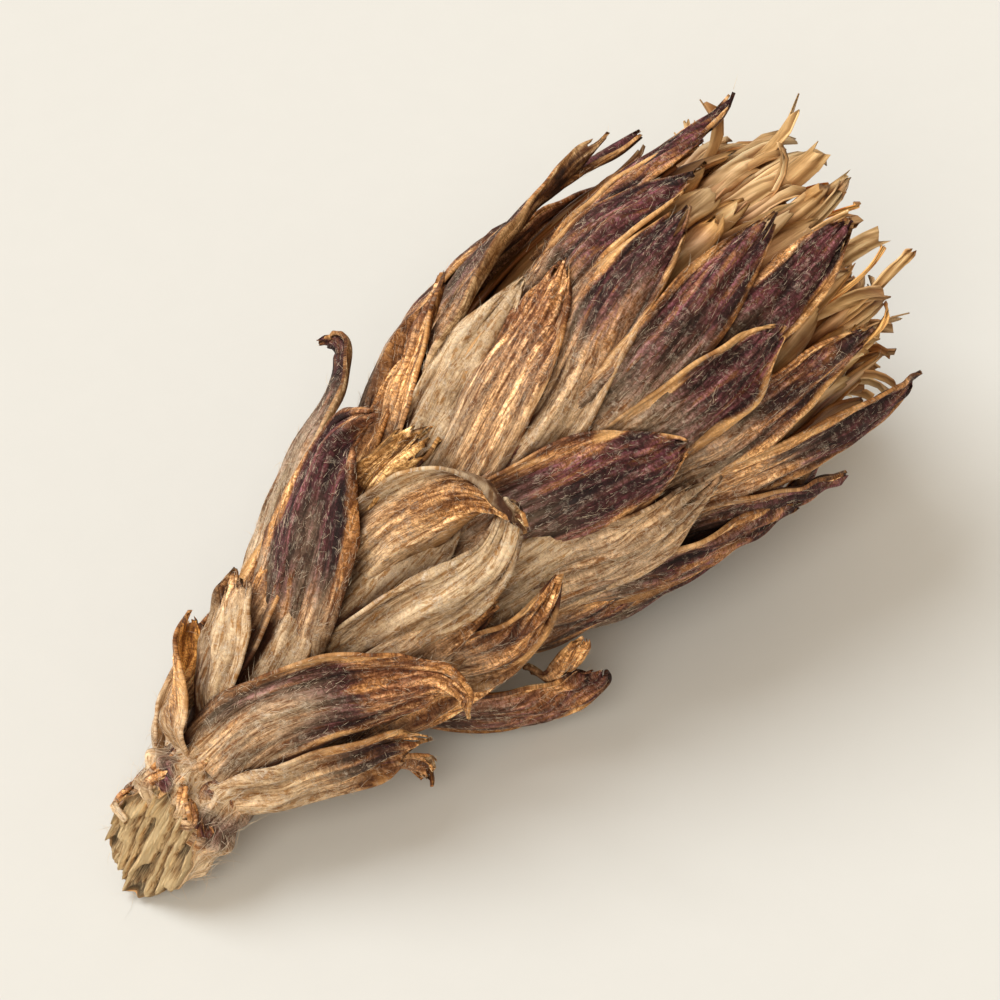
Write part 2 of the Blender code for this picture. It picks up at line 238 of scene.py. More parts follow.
def remap(tree, value, low, high, to_low=0.0, to_high=1.0):
    """A soft step: to_low below low, to_high above high."""
    node = add(tree, "ShaderNodeMapRange", {"interpolation_type": "SMOOTHSTEP"},
               _0=value, _1=low, _2=high, _3=to_low, _4=to_high)
    return node.outputs[0]


def scaled(tree, mask, at_zero, at_one):
    """A mask of 0 to 1 that now runs from one value to another."""
    return remap(tree, mask, 0.0, 1.0, at_zero, at_one)


def noise(tree, vector, scale, detail=3.0, roughness=0.6, distortion=0.0):
    """Soft noise of 0 to 1 that follows the vector."""
    node = add(tree, "ShaderNodeTexNoise", Vector=vector, Scale=scale, Detail=detail,
               Roughness=roughness, Distortion=distortion)
    return node.outputs[0]


# %% Helpers for colours
def blend_colours(tree, share, first, second, way="MIX"):
    """The first colour where the share is 0, and the second where it is 1."""
    node = add(tree, "ShaderNodeMix", {"data_type": "RGBA", "blend_type": way},
               _0=share, _6=first, _7=second)
    return node.outputs[2]


def multiply_colours(tree, first, second):
    return blend_colours(tree, 1.0, first, second, "MULTIPLY")


def warm_shade(tree, shade):
    """A grey painted shade as a colour that turns brown where it is dark and cream where it is light."""
    powers = {"Red": 1.0, "Green": 1.25, "Blue": 1.6}
    channels = {name: maths(tree, "POWER", shade, power) for name, power in powers.items()}
    return add(tree, "ShaderNodeCombineColor", **channels).outputs[0]


# %% Helpers for groups and materials
DRY_SHINE = 0.3


def new_group(name, inputs, outputs):
    """An empty node group with named sockets: its tree, its inputs and its outputs."""
    tree = bpy.data.node_groups.new(name, "ShaderNodeTree")
    for label, kind, value in inputs:
        socket = tree.interface.new_socket(label, in_out="INPUT", socket_type=kind)
        if value is not None:
            socket.default_value = value
    for label, kind in outputs:
        tree.interface.new_socket(label, in_out="OUTPUT", socket_type=kind)
    return tree, tree.nodes.new("NodeGroupInput").outputs, tree.nodes.new("NodeGroupOutput").inputs


def place_group(tree, group, **inputs):
    """A shared group in this tree; gives its outputs."""
    return add(tree, "ShaderNodeGroup", {"node_tree": group}, **inputs).outputs


def new_material(name, roughness):
    """A material, its tree and its shader, with the weak shine of dry things."""
    material = bpy.data.materials.new(name)
    material.use_nodes = True
    tree = material.node_tree
    shader = tree.nodes["Principled BSDF"]
    shader.inputs["Roughness"].default_value = roughness
    shader.inputs["Specular IOR Level"].default_value = DRY_SHINE
    return material, tree, shader


def carried(tree, name, output):
    """What every point of a piece carries under this name."""
    return add(tree, "ShaderNodeAttribute", {"attribute_name": name}).outputs[output]


def tint_zones(tree):
    """The four channels of the tint: purple, wool, margin and, kept as alpha, ochre."""
    tint = add(tree, "ShaderNodeAttribute", {"attribute_name": "tint"}).outputs
    zones = add(tree, "ShaderNodeSeparateColor", Color=tint["Color"]).outputs
    return zones[0], zones[1], zones[2], tint["Alpha"]


def add_bump(tree, shader, strength, depth, height):
    """Small relief for the light; the depth is in millimetres."""
    bump = add(tree, "ShaderNodeBump", Strength=strength, Distance=depth * MM, Height=height)
    tree.links.new(bump.outputs[0], shader.inputs["Normal"])


# %% [markdown]
# The paper is a single large face. Its fine grain is a faint noise between two pale greys, so it
# stays plain behind the bud and still doesn't look like a painted backdrop.

# %% Floor
FLOOR_SIZE = 0.7
PAPER_GRAIN = 900.0
PAPER_DARK = (0.695, 0.715, 0.70, 1)
PAPER_LIGHT = (0.715, 0.735, 0.72, 1)
form = bmesh.new()
bmesh.ops.create_grid(form, x_segments=1, y_segments=1, size=FLOOR_SIZE)
mesh = bpy.data.meshes.new("floor")
form.to_mesh(mesh)
form.free()
floor = place_object("floor", mesh)
paper, tree, shader = new_material("pale_paper", 0.9)
grain = noise(tree, add(tree, "ShaderNodeTexCoord").outputs["Object"], PAPER_GRAIN, 4.0)
tree.links.new(blend_colours(tree, grain, PAPER_DARK, PAPER_LIGHT), shader.inputs["Base Color"])
mesh.materials.append(paper)
print("floor laid")

# %% [markdown]
# ## Shared finishes
#
# Dried leaves show three things at once: fine streaks along the leaf, a felt of pale hairs,
# and colour that changes from a woolly base to a purple tip. The streaks and the felt are node
# groups that read the leaf's own grain (millimetres across, millimetres along), so they follow
# every bend. The colour zones come from an attribute that each leaf carries, called tint.


# %% Streaks along the grain
def fibre_streaks():
    """Fine lengthwise fibres: one mask of broad streaks and one of thin ones."""
    tree, given, out = new_group(
        "fibre_streaks",
        [("Grain", "NodeSocketVector", None), ("Across", "NodeSocketFloat", 5.0),
         ("Along", "NodeSocketFloat", 0.5)],
        [("Broad", "NodeSocketFloat"), ("Fine", "NodeSocketFloat")],
    )
    squeeze = add(tree, "ShaderNodeCombineXYZ", X=given["Across"], Y=given["Along"], Z=1.0).outputs[0]
    drawn_out = add(tree, "ShaderNodeVectorMath", {"operation": "MULTIPLY"}, _0=given["Grain"], _1=squeeze)
    broad = noise(tree, drawn_out.outputs[0], 0.5, 3.0, 0.6, 0.4)
    fine = noise(tree, drawn_out.outputs[0], 2.2, 4.0, 0.7, 0.8)
    tree.links.new(remap(tree, broad, 0.3, 0.7), out["Broad"])
    tree.links.new(remap(tree, fine, 0.3, 0.7), out["Fine"])
    return tree


STREAKS = fibre_streaks()

# %% Felt of crossing hairs
FELT_LAYERS = (  # turn in radians, noise scale across and along, half width of a line
    (0.5, 13.0, 4.0, 0.035),
    (-0.6, 15.0, 4.5, 0.035),
    (0.1, 18.0, 5.0, 0.03),
)


def hair_felt():
    """Thin pale lines that cross at small angles, as pressed hairs do."""
    tree, given, out = new_group(
        "hair_felt",
        [("Grain", "NodeSocketVector", None), ("Density", "NodeSocketFloat", 1.0)],
        [("Hairs", "NodeSocketFloat"), ("Fuzz", "NodeSocketFloat")],
    )
    layers = []
    for turn, across, along, slim in FELT_LAYERS:
        laid = add(tree, "ShaderNodeMapping", Vector=given["Grain"], Rotation=(0, 0, turn),
                   Scale=(across, along, 1))
        height = noise(tree, laid.outputs[0], 1.0, 1.0, 0.5, 1.1)
        off = maths(tree, "ABSOLUTE", maths(tree, "SUBTRACT", height, 0.5))
        layers.append(remap(tree, off, slim, 0.0))
    lines = maths(tree, "MAXIMUM", maths(tree, "MAXIMUM", layers[0], layers[1]), layers[2])
    sparse = remap(tree, noise(tree, given["Grain"], 6.0, 2.0, 0.6, 0.5), 0.5, 0.64)
    lines = times(tree, lines, sparse)
    fuzz = noise(tree, given["Grain"], 11.0, 4.0, 0.7, 1.2)
    tree.links.new(times(tree, lines, given["Density"]), out["Hairs"])
    tree.links.new(remap(tree, fuzz, 0.35, 0.65), out["Fuzz"])
    return tree


FELT = hair_felt()
print("shared groups:", STREAKS.name, "and", FELT.name)

# %% [markdown]
# ### Colour of a leaf
#
# From below upwards a leaf is bare tissue, ochre to brown, with a purple patch, a worn straw margin
# and a painted highlight on its ribs, then painted light and shade on its ribs and fibres, then
# wool, then single pale hairs, and last painted shade where other leaves cover it. The same order
# is kept here, in a group that every leaf material shares.

# %% Colours of the dried plant, linear
WOOL = (1.0, 0.81, 0.54, 1)
WOOL_SHADE = (0.53, 0.275, 0.09, 1)
WOOL_GAP = (0.20, 0.08, 0.026, 1)
STRAW = (0.92, 0.60, 0.26, 1)
OCHRE = (0.66, 0.35, 0.12, 1)
BROWN = (0.34, 0.15, 0.07, 1)
DARK_BROWN = (0.05, 0.022, 0.015, 1)
PURPLE = (0.125, 0.032, 0.037, 1)
DARK_PURPLE = (0.034, 0.012, 0.016, 1)
GOLD = (0.90, 0.46, 0.12, 1)
PALE_GOLD = (1.0, 0.78, 0.43, 1)
HAIR = (0.95, 0.82, 0.65, 1)
# painted shade: the colour a leaf is multiplied by where neighbours cover it
PAINTED_HOLLOW_SHADE = (0.11, 0.055, 0.035, 1)
WARMTH = (1.0, 0.88, 0.81, 1)

# %% [markdown]
# The purple patch, the ochre and the margin have ragged borders on the real leaf, because they
# follow its fibres. So each zone is first moved up and down by the streaks, and only then cut by a
# soft step. The straw colour is also painted on the ribs as a highlight.


# %% Bare tissue
def bare_leaf(tree, given):
    """Colour with a painted highlight on the ribs, no shade or wool, and how calm shade is at the margin.
    """
    ochre = shifted(tree, given["Ochre"], given["Broad"], 0.9)
    colour = blend_colours(tree, remap(tree, ochre, 0.0, 1.0), given["Brown"], given["Ochre colour"])
    dusk = blend_colours(tree, given["Broad"], given["Dark"], given["Purple colour"])
    patch = shifted(tree, given["Purple"], given["Fine"], 0.5)
    patch = shifted(tree, patch, given["Broad"], -0.5)
    colour = blend_colours(tree, remap(tree, patch, 0.15, 0.85), colour, dusk)
    rim = shifted(tree, given["Margin"], given["Broad"], 0.5)
    colour = blend_colours(tree, remap(tree, rim, 0.3, 1.0), colour, given["Straw"])
    # Painted highlight: straw colour on the raised ribs, weaker on purple
    rib_highlight = times(tree, remap(tree, given["Relief"], 0.35, 1.0), remap(tree, given["Fine"], 0.2, 0.9))
    plain = remap(tree, given["Purple"], 0.0, 0.8, 0.5, 0.05)
    colour = blend_colours(tree, times(tree, rib_highlight, plain), colour, given["Straw"])
    return colour, remap(tree, rim, 0.2, 0.9, 0.0, 0.7)


def fibre_shade(tree, given, calm):
    """Painted rib light and groove shade, with the fibres' streaky tone, as one grey; evened where calm."""
    shade = times(tree, scaled(tree, given["Fine"], 0.42, 1.55), scaled(tree, given["Relief"], 0.72, 1.3))
    shade = times(tree, shade, scaled(tree, given["Broad"], 0.68, 1.35))
    shade = times(tree, shade, scaled(tree, given["Fuzz"], 0.52, 1.4))
    return maths(tree, "ADD", shade, times(tree, calm, maths(tree, "SUBTRACT", 1.0, shade)))


# %% [markdown]
# Wool hides the tissue where it is thick and lets brown through between its strands where it is
# thin. It is laid over the leaf's painted shade rather than mixed into it, so it stays pale in the
# grooves, and has painted shade of its own only in soft folds.


# %% Wool over it
def wool_colour(tree, given):
    """Pale felt with brown between its strands, and painted shade in soft folds."""
    between = blend_colours(tree, remap(tree, given["Wool"], 0.3, 1.0), WOOL_GAP, WOOL_SHADE)
    felt = blend_colours(tree, remap(tree, given["Fine"], 0.0, 0.75), between, given["Wool colour"])
    return multiply_colours(tree, felt, warm_shade(tree, scaled(tree, given["Broad"], 0.72, 1.1)))


# %% Leaf colour group
def leaf_colour():
    """The colour of a dried leaf from its zones and masks, each 0 to 1, and a height for bump."""
    colours = [("Brown", BROWN), ("Ochre colour", OCHRE), ("Purple colour", PURPLE),
               ("Dark", DARK_PURPLE), ("Straw", STRAW), ("Wool colour", WOOL)]
    masks = ["Purple", "Wool", "Margin", "Ochre", "Relief", "Broad", "Fine", "Hairs", "Fuzz", "Hollow"]
    tree, given, out = new_group(
        "leaf_colour",
        [(name, "NodeSocketColor", value) for name, value in colours]
        + [(name, "NodeSocketFloat", 0.5) for name in masks],
        [("Colour", "NodeSocketColor"), ("Height", "NodeSocketFloat")],
    )
    colour, calm = bare_leaf(tree, given)
    # Painted light on the ribs and painted shade in the grooves
    colour = multiply_colours(tree, colour, warm_shade(tree, fibre_shade(tree, given, calm)))
    colour = multiply_colours(tree, colour, WARMTH)
    woolly = times(tree, given["Wool"], scaled(tree, given["Fuzz"], 0.6, 1.0))
    colour = blend_colours(tree, woolly, colour, wool_colour(tree, given))
    shown = maths(tree, "ADD", times(tree, given["Wool"], 0.5), 0.3)
    colour = blend_colours(tree, times(tree, given["Hairs"], shown), colour, HAIR)
    # Painted shade where neighbouring leaves cover the place
    colour = blend_colours(tree, given["Hollow"], colour, multiply_colours(tree, colour, PAINTED_HOLLOW_SHADE))
    height = maths(tree, "ADD", times(tree, given["Fine"], 0.8), times(tree, given["Hairs"], 0.7))
    height = maths(tree, "ADD", height, times(tree, given["Fuzz"], 0.6))
    tree.links.new(colour, out["Colour"])
    tree.links.new(height, out["Height"])
    return tree


LEAF_COLOUR = leaf_colour()
print("shared group:", LEAF_COLOUR.name)

# %% [markdown]
# One recipe makes four materials. The outside is felted, the inside is smooth and golden, one leaf
# shows an amber inside, and a torn scrap is bright gold.

# %% Leaf materials
AMBER = (0.50, 0.20, 0.04, 1)
PALE_AMBER = (0.90, 0.48, 0.12, 1)
SCRAP_BROWN = (0.74, 0.34, 0.08, 1)
SCRAP_GOLD = (1.0, 0.66, 0.26, 1)


def dried_leaf(name, hairiness, colours, roughness=0.66):
    """A leaf's finish. Hairiness is the share of the felt; colours replace the group's own."""
    material, tree, shader = new_material(name, roughness)
    grain = carried(tree, "grain", "Vector")
    purple, wool, margin, ochre = tint_zones(tree)
    streaks = place_group(tree, STREAKS, Grain=grain, Across=6.5, Along=0.8)
    felt = place_group(tree, FELT, Grain=grain, Density=hairiness)
    made = place_group(
        tree, LEAF_COLOUR, Purple=purple, Wool=wool, Margin=margin, Ochre=ochre,
        Relief=carried(tree, "relief", "Fac"), Hollow=carried(tree, "hollow", "Fac"),
        Broad=streaks["Broad"], Fine=streaks["Fine"], Hairs=felt["Hairs"], Fuzz=felt["Fuzz"], **colours
    )
    tree.links.new(made["Colour"], shader.inputs["Base Color"])
    add_bump(tree, shader, 0.65, 0.035, made["Height"])
    gloss = scaled(tree, streaks["Fine"], roughness - 0.12, roughness + 0.1)
    tree.links.new(gloss, shader.inputs["Roughness"])
    return material


GOLDEN = {"Brown": GOLD, "Ochre_colour": PALE_GOLD, "Purple_colour": BROWN, "Dark": DARK_BROWN}
LEAF_OUTSIDE = dried_leaf("leaf_outside", 1.0, {})
LEAF_INSIDE = dried_leaf("leaf_inside", 0.15, GOLDEN, 0.6)
AMBER_INSIDE = dried_leaf("amber_inside", 0.0, {"Brown": AMBER, "Ochre_colour": PALE_AMBER}, 0.4)
GOLDEN_SCRAP = dried_leaf("golden_scrap", 0.1, {"Brown": SCRAP_BROWN, "Ochre_colour": SCRAP_GOLD}, 0.6)
print("leaf materials:", LEAF_OUTSIDE.name, LEAF_INSIDE.name, AMBER_INSIDE.name, GOLDEN_SCRAP.name)

# %% [markdown]
# ## Leaves
#
# A leaf starts as a grid. Its points move onto a route of stations, bearings and radii, cupped
# round the bud, with ribs, soft wrinkles, an uneven margin and a curled tip. Solidify then
# gives the thickness, and shows the smoother golden inside where the leaf turns over.

# %% What describes a leaf
LEAF_HABITS = {
    "cup": 0.7,  # how far each half bends round the bud, in radians
    "purple": 0.5,  # strength of the purple patch
    "dusk": 0.3,  # where the patch starts, as a share of the length
    "ochre": 0.35,  # ochre rather than brown
    "wool": 0.6,  # strength of the wool
    "reach": 0.45,  # how far up the leaf the wool goes
    "margin": 0.6,  # strength of the straw margin
    "roll": 0.2,  # how far the margin on the side of rising bearings lifts
    "curl": 0,  # degrees that the end bends outwards
    "curl_from": 0.8,  # where the bend starts
    "jag": 0.1,  # how torn the tip is
    "crumple": 0.05,  # height of the soft creases in mm
    "cleft": 0.0,  # depth of a split in the middle of the tip
    "twist": 0,  # degrees that the tip turns about the middle line
    "taper": 2.5,  # a high number keeps the leaf broad up to a blunt tip
    "base": 0.68,  # breadth at the base, as a share of the widest
    "top_roll": 0.2,  # how far the other margin lifts
    "dusk_end": 9.0,  # where the patch ends; above 1 it runs to the tip
    "rim_wool": 0.0,  # wool on the other margin
}
Leaf = namedtuple("Leaf", ["route", "width", *LEAF_HABITS], defaults=LEAF_HABITS.values())
print("what can be said of a leaf:", len(Leaf._fields), "things")

# %% [markdown]
# Every blade, leaf or strap, is built round a middle line with a direction across and one outwards
# at each step. That way a twist turns the two directions, a curl bends the end of the line, and the
# width and the relief are added last, whatever the line does.

# %% The middle line
SPINE_STEPS = 161


def path_length(points):
    """The length of a line of points, in their own unit."""
    return np.linalg.norm(np.diff(points, axis=0), axis=1).sum()


def spine(blade):
    """A blade's middle line: t, its points and the directions across and outwards."""
    t = np.linspace(0, 1, SPINE_STEPS)
    station, bearing, radius = through(blade.route, t).T
    here = on_bud(station, bearing, radius)
    ahead = unit(np.gradient(here, axis=0))
    turned = on_bud(station, bearing + 90, 1.0) - on_bud(station, bearing, 0.0)
    side = unit(turned - (turned * ahead).sum(-1, keepdims=True) * ahead)
    out = np.cross(side, ahead)
    angle = np.radians(blade.twist) * t[:, None]
    side, out = side * np.cos(angle) + out * np.sin(angle), out * np.cos(angle) - side * np.sin(angle)
    if blade.curl:
        curl_end(blade, here, ahead, side, out)
    return t, here, side, out


def curl_end(blade, here, ahead, side, out):
    """Rolls the end of the middle line up; its length stays as it is."""
    start = int(blade.curl_from * (SPINE_STEPS - 1))
    turn = radians(abs(blade.curl)) * np.linspace(0, 1, SPINE_STEPS - start)[:, None] ** 1.3
    step = path_length(here[start:]) / (SPINE_STEPS - start - 1)
    way = np.sign(blade.curl)
    bent = np.cos(turn) * ahead[start] + np.sin(turn) * out[start] * way
    here[start:] = here[start] + np.vstack([np.zeros(3), np.cumsum(bent[1:] * step, axis=0)])
    out[start:] = unit(np.cos(turn) * out[start] - np.sin(turn) * ahead[start] * way)
    side[start:] = side[start]


def grid_shares(columns, rows):
    """Shares across, -1 to 1, and along, 0 to 1, for a grid."""
    return np.linspace(-1, 1, columns)[None, :], np.linspace(0, 1, rows)[:, None]


def laid_on(middle, t, lateral, raised):
    """Points at t along the middle line, moved across and outwards."""
    line, here, side, out = middle
    at = [np.stack([np.interp(t, line, part[:, k]) for k in range(3)], -1) for part in (here, side, out)]
    return at[0] + at[1] * lateral[..., None] + at[2] * raised[..., None]


# %% [markdown]
# Seen from above a leaf is broad below its middle and narrows to a blunt or a sharp tip. Across, it
# has eight or nine ribs with soft creases between them, which drying has drawn together. Modelled
# ribs catch the low light at the edges, which a bump in the material doesn't do.

# %% Breadth and relief
WIDEST_AT = 0.42
TIP_BREADTH = 0.06
RIBS = (-0.84, -0.62, -0.41, -0.2, 0.02, 0.22, 0.43, 0.64, 0.86)
RIB_WIDTH = 0.075
RIB_HEIGHT = 0.07
RIB_SWAY = 0.06
PLEAT_HEIGHT = 0.07
WRINKLE_HEIGHT = 0.035
BASE_SINK = 0.4
FULL_RELIEF_WIDTH = 0.85


def breadth(t, base, taper):
    """Half the width along a leaf, as a share of the widest."""
    lower = base + (1 - base) * np.sin(np.minimum(t, WIDEST_AT) / WIDEST_AT * pi / 2)
    narrowing = (np.maximum(t - WIDEST_AT, 0) / (1 - WIDEST_AT)) ** taper
    upper = TIP_BREADTH + (1 - TIP_BREADTH) * (1 - narrowing)
    return np.where(t < WIDEST_AT, lower, upper)


def rib_relief(seed, u, t):
    """Rounded ribs from base to tip, each as strong as chance makes it, 0 to about 1."""
    draw = Random(seed)
    relief = 0 * t * u
    for place in RIBS:
        sway = RIB_SWAY * waves(t * 1.1, place * 4, seed + 3)
        strength = draw.uniform(0.45, 1.0) * (1 + 0.35 * waves(t * 2.2, place * 9, seed + 8))
        off = u * (1.1 - 0.1 * t) - place - sway
        relief = np.maximum(relief, strength * np.exp(-((off / RIB_WIDTH) ** 2)))
    return relief


def add_relief(raised, relief, leaf, seed, u, t, half, length):
    """Ribs, creases, wrinkles, pleats, rolled margins and a base that sinks into the stalk."""
    fade = smooth(0.0, 0.12, t) * (1 - 0.6 * smooth(0.8, 1.0, t))
    fade = fade * min(1.0, leaf.width / FULL_RELIEF_WIDTH) ** 1.5
    raised = raised + RIB_HEIGHT * fade * relief
    raised = raised + leaf.crumple * waves(u * 0.8, t * length * 0.35, seed + 4)
    raised = raised + WRINKLE_HEIGHT * waves(u * half * 1.3, t * length * 0.4, seed + 6)
    raised = raised + PLEAT_HEIGHT * fade * np.cos(pi * (2.3 * u + waves(t * 0.8, 0, seed + 10)))
    lift = np.where(u < 0, leaf.top_roll, leaf.roll) * (1 + 0.5 * waves(t * 1.5, np.sign(u) * 7, seed + 9))
    raised = raised + lift * half * np.maximum(0, (np.abs(u) - 0.6) / 0.4) ** 2 * smooth(0.1, 0.3, t)
    return raised - BASE_SINK * (1 - smooth(0.0, 0.22, t))


print("breadth at base, middle and tip:", breadth(np.array([0.0, 0.5, 1.0]), 0.68, 2.5).round(2).tolist())

# %% [markdown]
# Where a leaf is purple, woolly or straw coloured is written on its points, because it belongs to
# the leaf's form: wool at the base, purple from there to the tip, straw along the worn margin.


# %% Zones of colour
def leaf_tint(leaf, seed, u, t, grain):
    """Four zones, 0 to 1: purple, wool, pale margin and ochre."""
    patch = waves(grain[..., 0] * 0.5, grain[..., 1] * 0.22, seed + 7)
    ragged = 0.08 * patch + 0.14 * waves(t * 1.7, np.sign(u) * 4, seed + 13)
    edge = smooth(0.62, 0.94, np.abs(u) + ragged)
    purple = leaf.purple * smooth(leaf.dusk - 0.2, leaf.dusk + 0.12, t + 0.1 * patch) * (1 - 0.85 * edge)
    purple = purple * (1 - smooth(leaf.dusk_end - 0.12, leaf.dusk_end + 0.08, t + 0.05 * patch))
    wool = leaf.wool * (1 - smooth(leaf.reach - 0.3, leaf.reach + 0.2, t + 0.1 * patch))
    wool = np.maximum(wool, leaf.rim_wool * smooth(0.3, 0.7, 0.1 * patch - u) * smooth(0.1, 0.3, t))
    tip = smooth(0.9, 1.0, t)
    worn_off = 0.15 + 0.85 * smooth(-0.7, 0.3, waves(t * 2.6, np.sign(u) * 3, seed + 12))
    margin = leaf.margin * np.maximum(edge * smooth(0.05, 0.3, t), 0.6 * tip) * worn_off
    ochre = np.clip(leaf.ochre + 0.35 * patch + 0.25 * edge, 0, 1)
    return np.clip(np.stack(np.broadcast_arrays(purple, wool, margin, ochre), -1), 0, 1)


# %% One leaf's shape
LEAF_THICKNESS = 0.09
OUTWARD = 0.12
FLOOR_GAP = 0.07
CLEFT_WIDTH = 0.3
UNEVENNESS = 0.07


def leaf_points(leaf, seed, columns, rows):
    """The leaf's points in millimetres, its tint and its grain, each as a rows by columns array."""
    u, v = grid_shares(columns, rows)
    middle = spine(leaf)
    length = path_length(middle[1])
    torn = leaf.jag * (0.5 + 0.5 * waves(u * 3.1, seed * 0.37, seed + 5))
    notch = torn + leaf.cleft * np.exp(-((u / CLEFT_WIDTH) ** 2))
    t = np.clip(v * (1 - notch * v**5), 0, 1)
    uneven = 1 + UNEVENNESS * waves(t * 2.4, np.sign(u) * 5, seed + 1) * np.abs(u)
    half = leaf.width * breadth(t, leaf.base, leaf.taper) * uneven
    cup = leaf.cup * np.minimum(1.0, 0.4 + 1.5 * t) * (1 + 0.7 * smooth(0.7, 1.0, t))
    lateral = half / cup * np.sin(u * cup)
    relief = rib_relief(seed, u, t)
    raised = half / cup * (np.cos(u * cup) - 1)
    raised = add_relief(raised, relief, leaf, seed, u, t, half, length)
    points = laid_on(middle, t, lateral, raised + OUTWARD)
    points[..., 2] = np.maximum(points[..., 2], FLOOR_GAP + LEAF_THICKNESS / 2)
    grain = np.stack([half * u, t * length, relief], -1)
    return points, leaf_tint(leaf, seed, u, t, grain), grain


plain_leaf = Leaf([(5, 0, 2), (8, 0, 3), (11, 0, 4)], 1.0)
print("a plain leaf is", path_length(spine(plain_leaf)[1]).round(1), "mm long")

# %% [markdown]
# A grid from an operator takes the points, so its faces and their order are right from the start.
# Wrapped sheets are closed along their seam. Solidify turns a sheet into a thin wall and gives its
# other side the second material.

# %% Sheets become meshes
GRAIN_STEP = 3.7
SEAM = 1e-7


def add_sheet(form, points, tint, grain, seed=0):
    """A grid whose points lie on the sheet, with tint, grain and relief written on every point."""
    rows, columns = points.shape[:2]
    layers = form.verts.layers
    tints = layers.float_color.get("tint") or layers.float_color.new("tint")
    grains = layers.float_vector.get("grain") or layers.float_vector.new("grain")
    reliefs = layers.float.get("relief") or layers.float.new("relief")
    made = bmesh.ops.create_grid(form, x_segments=columns - 1, y_segments=rows - 1, size=1.0)["verts"]
    for vert in made:
        column = round((vert.co.x + 1) / 2 * (columns - 1))
        row = round((vert.co.y + 1) / 2 * (rows - 1))
        vert.co = points[row, column] * MM
        vert[tints] = tint[row, column]
        vert[reliefs] = grain[row, column, 2]
        vert[grains] = (grain[row, column, 0], grain[row, column, 1], seed * GRAIN_STEP)


def close_up(form):
    """Joins the two edges of a sheet that is wrapped round, and turns its faces outwards."""
    bmesh.ops.remove_doubles(form, verts=form.verts, dist=SEAM)
    bmesh.ops.recalc_face_normals(form, faces=form.faces)


def seat(piece, replaced):
    """The piece rides on the bud, and stands for a CAD node if it replaces one."""
    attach(piece, BODY)
    if replaced:
        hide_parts(replaced)


def finish_piece(name, form, materials, replaced, thickness=None):
    """The form becomes an object, with a wall where a thickness in mm is given."""
    mesh = bpy.data.meshes.new(name)
    form.to_mesh(mesh)
    form.free()
    for material in materials:
        mesh.materials.append(material)
    mesh.shade_smooth()
    piece = place_object(name, mesh)
    if thickness:
        wall = piece.modifiers.new("thickness", "SOLIDIFY")
        wall.thickness = thickness * MM
        wall.offset = 0.0
        wall.material_offset = 1 if len(materials) > 1 else 0
    seat(piece, replaced)
    return piece


# %% One or more leaves as a piece
ALL_SHEETS = []
LEAF_OBJECTS = []
LEAF_GRID = (33, 61)
NEXT_LEAF = 11


def leaf_piece(name, leaves, seed, replaced, grid=LEAF_GRID, outside=LEAF_OUTSIDE, inside=LEAF_INSIDE):
    """One object for one or more leaves, on grids of columns and rows."""
    form = bmesh.new()
    for number, leaf in enumerate(leaves):
        points, tint, grain = leaf_points(leaf, seed + NEXT_LEAF * number, *grid)
        add_sheet(form, points, tint, grain, seed + number)
        ALL_SHEETS.append((points, tint))
    LEAF_OBJECTS.append(finish_piece(name, form, (outside, inside), replaced, LEAF_THICKNESS))


# %% [markdown]
# ### Scale leaves of the stalk
#
# Fifteen separate leaves clasp the stalk. The lowest one is the broadest, with a purple brown
# patch and a pale rolled margin. Others are pale and felted, or hooked at the tip. Each
# route runs from the hidden base of a leaf to its tip, and only what differs from the usual habits
# is said of it.

